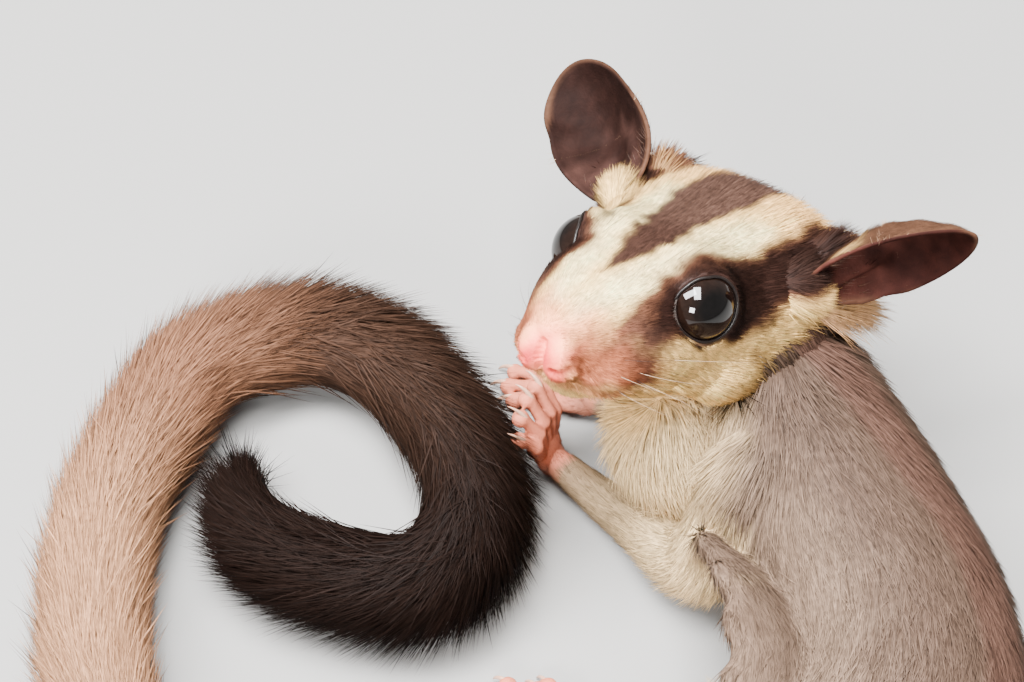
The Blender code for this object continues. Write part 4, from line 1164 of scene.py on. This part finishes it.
def bumped(tree, shader, where, scale, strength, distance):
    noise = node(tree, "ShaderNodeTexNoise", Scale=scale, Detail=3.0, Roughness=0.6)
    tree.links.new(where.outputs["Object"], noise.inputs["Vector"])
    bump = node(tree, "ShaderNodeBump", Strength=strength, Distance=distance)
    tree.links.new(noise.outputs["Fac"], bump.inputs["Height"])
    tree.links.new(bump.outputs["Normal"], shader.inputs["Normal"])


def make_materials():
    made = {}
    for name, (surface, tone, bumps) in MATERIALS.items():
        made[name], tree, shader = principled(name, *surface)
        where = coloured(tree, shader, *tone)
        if bumps:
            bumped(tree, shader, where, *bumps)
    return made


def finish(obj, material, nodes=()):
    obj.data.materials.clear()
    obj.data.materials.append(material)
    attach(obj, "root")
    if nodes:
        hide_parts(*nodes)


# Eyes, ears, claws and whiskers


def eye_piece(side):
    """A polished ball with a dark iris, and the pale corner towards the nose."""
    axis = vector(mirrored(EYE_AXIS, side)).normalized()
    place = np.array(HEAD @ frame_from(axis, (0, 0, 1), mirrored(EYE_CENTRE, side)))
    rows, sides = 48, 72
    points = []
    for i in range(rows + 1):
        polar = math.pi * i / rows
        for k in range(sides):
            turn = 2 * math.pi * k / sides
            out = EYE_RADIUS * math.sin(polar)
            points.append((EYE_RADIUS * math.cos(polar), out * math.cos(turn), out * math.sin(turn)))
    points = np.array(points) @ place[:3, :3].T + place[:3, 3]
    obj = closed_grid("eye_ball_" + side, points, rows, sides)
    local = (points_of(obj) / MM - SHIFT - place[:3, 3]) @ place[:3, :3]
    polar = np.arccos(np.clip(local[:, 0] / EYE_RADIUS, -1, 1))
    iris = smooth_step(0.30, 0.9, polar) * (1 - smooth_step(0.98, 1.1, polar))
    colour = np.array(PUPIL) + iris[:, None] * np.array(IRIS)
    ahead = (to_head(points_of(obj) / MM - SHIFT) - np.array(mirrored(EYE_CENTRE, side)))[:, 0]
    white = smooth_step(1.06, 1.16, polar) * smooth_step(0.3, 0.7, ahead / EYE_RADIUS)
    paint_points(obj, mix(colour, EYE_WHITE, white))
    return obj


def lid_piece(side):
    """The dark bare edge of the lids, which closes on the eye."""
    turns = [2 * math.pi * k / 10 for k in range(10)]
    middle = EYE_RADIUS + 0.16
    obj = round_eye(side, [(LID_EDGE * math.cos(t), middle + LID_EDGE * math.sin(t)) for t in turns])
    points = points_of(obj) / MM
    faces = np.array([tuple(p.vertices) for p in obj.data.polygons])
    bpy.data.objects.remove(obj)
    made = mesh_object("lid_" + side, points, faces)
    paint_points(made, np.tile(np.array(LID), (len(points), 1)))
    return made


def ear_frame(side):
    """In the head's frame: an ear's root, its length, the way to its tip and the way it opens."""
    spec = EARS[side]
    root = np.array(spec["root"])
    run = np.array(spec["tip"]) - root
    length = np.linalg.norm(run)
    along = run / length
    opens = np.array(spec["opens"]) - along * (np.array(spec["opens"]) @ along)
    return root, length, along, opens / np.linalg.norm(opens)


def hump(values, middle, width):
    return np.exp(-(((values - middle) / width) ** 2))


def ear_piece(side):
    """A thin cupped leaf with folds at its root and fine ridges across."""
    root, length, along, opens = ear_frame(side)
    across = np.cross(along, opens)
    rings, turns = 26, 96
    middle = root + along * (MIDDLE_OF_EAR * length)
    share = (np.arange(rings + 1) / rings)[:, None]
    turn = (2 * math.pi * np.arange(turns) / turns)[None, :]
    ahead, aside = np.cos(turn), np.sin(turn)
    reach = np.where(ahead > 0, 1 - MIDDLE_OF_EAR, MIDDLE_OF_EAR) * length
    width = 0.5 * EAR_SHAPE["width"] * (1.0 - EAR_SHAPE["egg"] * ahead)
    low, high, notch, blunt = EAR_TRIM[side]
    base = smooth_step(0.25, -0.9, ahead)
    trim = np.where(aside < 0, low[0] + (low[1] - low[0]) * base, high[0] + (high[1] - high[0]) * base)
    width = width * (trim - notch * hump(ahead, -0.25, 0.16) * (aside > 0))
    width = width * (1 + blunt * smooth_step(0.25, 0.8, ahead) * np.where(aside < 0, 1.0, 0.25))
    depth = EAR_SHAPE["cup"] * (1 - share**2) + EAR_SHAPE["lean"] * share * ahead
    u, v = reach * share * ahead, width * share * aside
    place = (u + MIDDLE_OF_EAR * length) / length
    ridges = 0.10 * np.sin(place * 34.0 + 0.5 * v) * smooth_step(0.3, 0.55, place)
    ridges = ridges * (1 - smooth_step(0.85, 1.0, share))
    fold = 1.7 * hump(v, 1.6 + 2.0 * place, 0.9) * (1 - smooth_step(0.3, 0.55, place))
    fold = fold + 1.1 * hump(v, -2.0, 0.8) * (1 - smooth_step(0.2, 0.45, place))
    fold = fold + 0.9 * hump(place, 0.42 + 0.04 * v, 0.05) * smooth_step(1.0, -2.5, v)
    depth = depth - ridges - EAR_FOLDS[side] * fold * (1 - share**4)
    leaf = middle + along * u[..., None] + across * v[..., None] - opens * depth[..., None]
    obj = closed_grid("ear_skin_" + side, from_head(leaf.reshape(-1, 3)), rings, turns)
    solid = obj.modifiers.new("Solidify", "SOLIDIFY")
    solid.thickness = EAR_THICKNESS * MM
    solid.offset = 0.0
    solid.use_rim = True
    with_modifiers(obj)
    obj.data.shade_smooth()
    h = to_head(points_of(obj) / MM - SHIFT)
    u, v = (h - middle) @ along, (h - middle) @ across
    place = (u + MIDDLE_OF_EAR * length) / length
    rim_u = np.where(u > 0, 1 - MIDDLE_OF_EAR, MIDDLE_OF_EAR) * length
    rim = np.sqrt((u / rim_u) ** 2 + (v / (0.5 * EAR_SHAPE["width"])) ** 2)
    inside = smooth_step(-0.2, 0.2, (points_of(obj, "normal") @ HEAD_TURN) @ opens)
    # The side's own inner tones; on the right ear they are darker with painted shade
    inner = np.tile(np.array(EAR_INSIDE_SHADED_BY_SIDE[side]), (len(h), 1))
    inner = mix(inner, EAR_PINK_SHADED_BY_SIDE[side], smooth_step(0.6, 0.15, place + 0.12 * waves(h, 4.0, 21)))
    inner = mix(inner, EAR_BACK, 0.6 * smooth_step(0.93, 1.0, rim))
    colour = mix(np.tile(np.array(EAR_BACK), (len(h), 1)), inner, inside)
    paint_points(obj, np.clip(colour * (1 + 0.12 * waves(h, 2.2, 22))[:, None], 0, 1))
    return obj


class EarCoat:
    """The outside of an ear, in the form that tufts grow on."""

    def __init__(self, coat, obj, side):
        self.lines, self.tree = coat.lines, None
        self.points, self.normal = points_of(obj) / MM - SHIFT, points_of(obj, "normal")
        self.faces = triangles_of(obj)
        self.root, self.reach, self.way, opens = ear_frame(side)
        self.share = self.share_of(self.points)
        self.outside = (self.normal @ HEAD_TURN) @ opens < -0.15
        self.along = HEAD_TURN @ self.way
        lie = np.tile(self.along, (len(self.points), 1))
        self.lie = unit(lie - self.normal * (lie * self.normal).sum(1)[:, None])
        self.length = np.interp(self.share, (0.0, 0.3, 0.6, 1.0), (3.2, 2.2, 1.0, 0.5))
        self.calm = np.ones(len(self.points))
        self.on_head = np.ones(len(self.points))
        self.place = np.zeros(len(self.points))
        self.region = np.full(len(self.points), "head", dtype=object)

    def share_of(self, points):
        return (to_head(points) - self.root) @ self.way / self.reach

    def colour_at(self, points, region, place, on_head):
        share = smooth_step(0.12, 0.42, self.share_of(points))
        return mix(head_colour(points), EAR_BACK, share)


def ear_hairs(coats):
    """Short pale hairs along each ear's rim, and longer ones inside its root."""
    draw = np.random.default_rng(SEED + 60)
    hairs = []
    rim_hairs, inner_hairs = 150, 45
    for coat in coats.values():
        along = coat.along
        middle = from_head([coat.root + coat.way * coat.reach * 0.5])[0]
        reach = np.linalg.norm(coat.points - middle, axis=1)
        out = unit(coat.points - middle)
        edge = coat.share > 0.12
        turn = np.arctan2((out * along).sum(1), (out @ np.cross(along, coat.normal.mean(0))))
        for k in range(rim_hairs):
            at = -math.pi + 2 * math.pi * (k + draw.random()) / rim_hairs
            near = edge & (np.abs(turn - at) < 0.06)
            if near.any():
                i = np.flatnonzero(near)[reach[near].argmax()]
                way = out[i] + 0.3 * along + 0.25 * draw.normal(size=3)
                sag = 0.2 * draw.normal(size=3)
                hairs.append((coat.points[i], way, sag, draw.uniform(0.5, 0.95), EAR_HAIR))
        inside = np.flatnonzero((coat.share > 0.06) & (coat.share < 0.26) & ~coat.outside)
        for i in draw.choice(inside, inner_hairs):
            way = coat.normal[i] * 0.6 + along + 0.12 * draw.normal(size=3)
            sag = -0.25 * coat.normal[i] + 0.05 * draw.normal(size=3)
            hairs.append((coat.points[i], way, sag, draw.uniform(1.0, 2.0), EAR_BACK))
    return strands("ear_hairs", hairs, 0.02, 5, 4)


def rod_faces(base, rings, sides):
    """Triangles of a closed rod whose rings of points start at base."""
    faces = []
    top = base + (rings - 1) * sides
    for a in range(base, top, sides):
        b = a + sides
        for k in range(sides):
            j = (k + 1) % sides
            faces += [(a + k, a + j, b + j), (a + k, b + j, b + k)]
    for k in range(1, sides - 1):
        faces += [(base, base + k + 1, base + k), (top, top + k, top + k + 1)]
    return faces


def strands(name, hairs, radius, rings=9, sides=5):
    """Thin tapered hairs, each a closed tube. A hair is a root, a way, a sag, a length and a colour."""
    points, faces, shades = [], [], []
    for root, way, sag, length, colour in hairs:
        way = vector(way).normalized()
        faces += rod_faces(len(points), rings, sides)
        across = way.orthogonal().normalized()
        other = way.cross(across)
        for i in range(rings):
            t = i / (rings - 1)
            centre = vector(root) + way * (length * t) + vector(sag) * (length * t * t)
            thick = radius * (1.0 - 0.9 * t)
            for k in range(sides):
                turn = 2 * math.pi * k / sides
                points.append(centre + across * (thick * math.cos(turn)) + other * (thick * math.sin(turn)))
                shades.append(colour)
    obj = mesh_object(name, np.array(points), faces)
    paint_points(obj, shades)
    return obj


def claw_piece():
    """All the claws: curved cones that point on from each digit and down."""
    points, faces, shades = [], [], []
    rings, sides = 9, 10
    level = Vector((0, 0, 1))
    arc = CLAW_LENGTH / math.radians(62)
    for name, (at, ahead, back) in PAWS.items():
        place = frame_from(ahead, back, at)
        for _, _, tip, forward, clawed in paw_digits(name)[1]:
            if not clawed:
                continue
            faces += [face[::-1] for face in rod_faces(len(points), rings, sides)]
            side = forward.cross(level)
            for i in range(rings):
                t = i / (rings - 1)
                bend = math.radians(66) * (t * 1.12 - 0.12)
                centre = tip + forward * (arc * math.sin(bend)) - level * (arc * (1 - math.cos(bend)) - 0.28)
                out = level * math.cos(bend) + forward * math.sin(bend)
                thick = 0.38 * (1 - t) ** 0.75 + 0.03
                for k in range(sides):
                    turn = 2 * math.pi * k / sides
                    edge = out * (1.15 * thick * math.cos(turn)) + side * (0.75 * thick * math.sin(turn))
                    points.append(place @ (centre + edge))
                    shades.append(np.array(CLAW) + (np.array(CLAW_TIP) - CLAW) * t)
    obj = mesh_object("claws", np.array(points), faces)
    paint_points(obj, shades)
    return obj


def whiskers():
    """Whiskers in rows on each side of the snout, and a few over each eye and on each cheek."""
    draw = np.random.default_rng(SEED + 40)
    hairs = []

    def add(sign, root, way, sag, length, colour):
        root, way, sag = (np.array(values) * (1, sign, 1) for values in (root, way, sag))
        hairs.append((from_head([root])[0], HEAD_TURN @ way, HEAD_TURN @ sag, length, colour))

    for sign in (1.0, -1.0):
        for row in range(4):
            for n in range(5):
                x = 12.4 - 1.15 * n + draw.normal(0, 0.15)
                root = (x, 5.0 + 0.62 * n - 0.12 * abs(row - 1.5), -3.4 - 0.95 * row + 0.1 * n)
                way = np.array((-0.25 - 0.16 * n, 1.0, 0.28 - 0.25 * row)) + draw.normal(0, 0.09, 3)
                sag = (-0.35, -0.1, -0.12 + 0.08 * draw.normal())
                length = draw.uniform(7.0, 13.0) * (0.6 + 0.1 * n)
                add(sign, root, way, sag, length, WHISKER_DARK if draw.random() < 0.85 else WHISKER_LIGHT)
        for k in range(3):
            root, way = (4.5 - 1.5 * k, 4.2 + 0.6 * k, 6.1 + 0.5 * k), (-1.0, 0.12 * k, 0.42 + 0.1 * k)
            add(sign, root, way, (0.0, 0.05, -0.12), 8.0 - k, WHISKER_DARK)
        for k in range(3):
            root, way = (-5.0 - 0.9 * k, 13.0, -2.6 - 0.8 * k), (-0.9, 0.75, -0.25 - 0.1 * k)
            add(sign, root, way, (-0.1, -0.2, -0.2), 5.5 - k, WHISKER_DARK)
    return strands("whiskers", hairs, 0.027)


# Stage


def stage():
    bm = bmesh.new()
    bmesh.ops.create_grid(bm, x_segments=8, y_segments=8, size=FLOOR_SIZE)
    floor = from_bmesh("floor", bm)
    material, _, shader = principled("floor", 0.85, 0.2)
    shader.inputs["Base Color"].default_value = (*FLOOR, 1.0)
    floor.data.materials.append(material)
    world = bpy.data.worlds.new("studio")
    bpy.context.scene.world = world
    world.use_nodes = True
    background = world.node_tree.nodes["Background"]
    background.inputs["Color"].default_value = (*WORLD_COLOUR, 1.0)
    background.inputs["Strength"].default_value = WORLD_POWER
    for name, (at, wide, deep, power) in LIGHTS.items():
        light = bpy.data.lights.new(name, "AREA")
        light.shape = "RECTANGLE"
        light.size, light.size_y, light.energy = wide, deep, power
        lamp = linked(name, light)
        lamp.location = at
        lamp.rotation_euler = (Vector(AIM) - Vector(at)).to_track_quat("-Z", "Y").to_euler()


def camera():
    data = bpy.data.cameras.new("camera")
    data.lens = LENS
    data.sensor_width = 36.0
    data.clip_start = 0.01
    obj = linked("camera", data)
    obj.location = vector((np.array(CAMERA_AT) + SHIFT) * MM)
    obj.rotation_euler = (math.radians(CAMERA_TILT), 0.0, 0.0)
    bpy.context.scene.camera = obj


def coat_places(coat):
    """The points that each piece of the coat grows on. Neighbours overlap a little."""
    h, y, run = coat.h, coat.points[:, 1], coat.place
    x = h[:, 0]
    on_head = coat.on_head > 0.5
    bare_nose = np.linalg.norm(h - np.array(NOSE_TIP), axis=1) < 2.6
    furry = on_head & ~bare_nose & (from_eyes(h) > EYE_RADIUS + 0.3)
    behind_ears = (-16.0, 14.0, 0.5, 2.6), (-20.5, 13.6, 0.0, 2.8), (-20.0, 13.6, -3.0, 2.4)
    before_ears = (-8.0, 12.4, 5.8, 1.7), (-8.6, 13.8, 3.0, 1.7)
    paws = np.array([name.startswith(("hand", "foot")) for name in coat.region])
    tail = coat.region == "tail"
    body = ~on_head & ~paws & ~tail
    return {
        "coat_face": furry & (x > 1.0),
        "coat_brow": furry & (x <= 1.8) & (x > -9.0),
        "coat_nape": furry & (x <= -8.2),
        "coat_ruff": on_head & (chain(folded(h), behind_ears, 0.1) > 0.5),
        "coat_ear_root": on_head & (chain(folded(h), before_ears, 0.1) > 0.5),
        "coat_chest": body & (y > -22.0),
        "coat_back": body & (y <= -21.0) & (y > -52.0),
        "coat_rump": body & (y <= -51.0),
        "coat_tail_root": tail & (run < 0.36),
        "coat_tail": tail & (run >= 0.35) & (run < 0.66),
        "coat_tail_end": tail & (run >= 0.65),
        "coat_paws": paws & (run < 0.75),
    }


def main():
    made = make_materials()
    points, faces = build_skin()
    coat = Coat(points, faces)
    skin = mesh_object("skin", points, faces)
    paint_points(skin, coat.colour)
    flesh = [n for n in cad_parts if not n.startswith(("eye", "ear"))]
    finish(skin, made["skin"], flesh)

    places = coat_places(coat)
    head_density = np.clip(3.0 / coat.length, 0.4, 2.2)
    for name, (count, width, lift, spread, seed, kind) in COATS.items():
        density = head_density if name in ("coat_face", "coat_brow", "coat_nape") else None
        tint = RUFF if name == "coat_ruff" else None
        fur = grow(coat, name, places[name], count, width, lift, spread, SEED + seed, density, tint)
        finish(fur, made[kind])

    ears = {}
    for side in ("l", "r"):
        finish(eye_piece(side), made["eye"], ["eye_" + side])
        finish(lid_piece(side), made["lid"])
        ear = ear_piece(side)
        ears[side] = EarCoat(coat, ear, side)
        finish(ear, made["ear"], ["ear_" + side])
        where = ears[side].outside & (ears[side].share < 0.97)
        count, width, lift, spread, seed = EAR_COAT
        fur = grow(ears[side], "coat_ear_" + side, where, count, width, lift, spread, SEED + seed)
        finish(fur, made["fur_face"])
    finish(ear_hairs(ears), made["whisker"])
    finish(claw_piece(), made["claw"])
    finish(whiskers(), made["whisker"])
    stage()
    camera()


main()
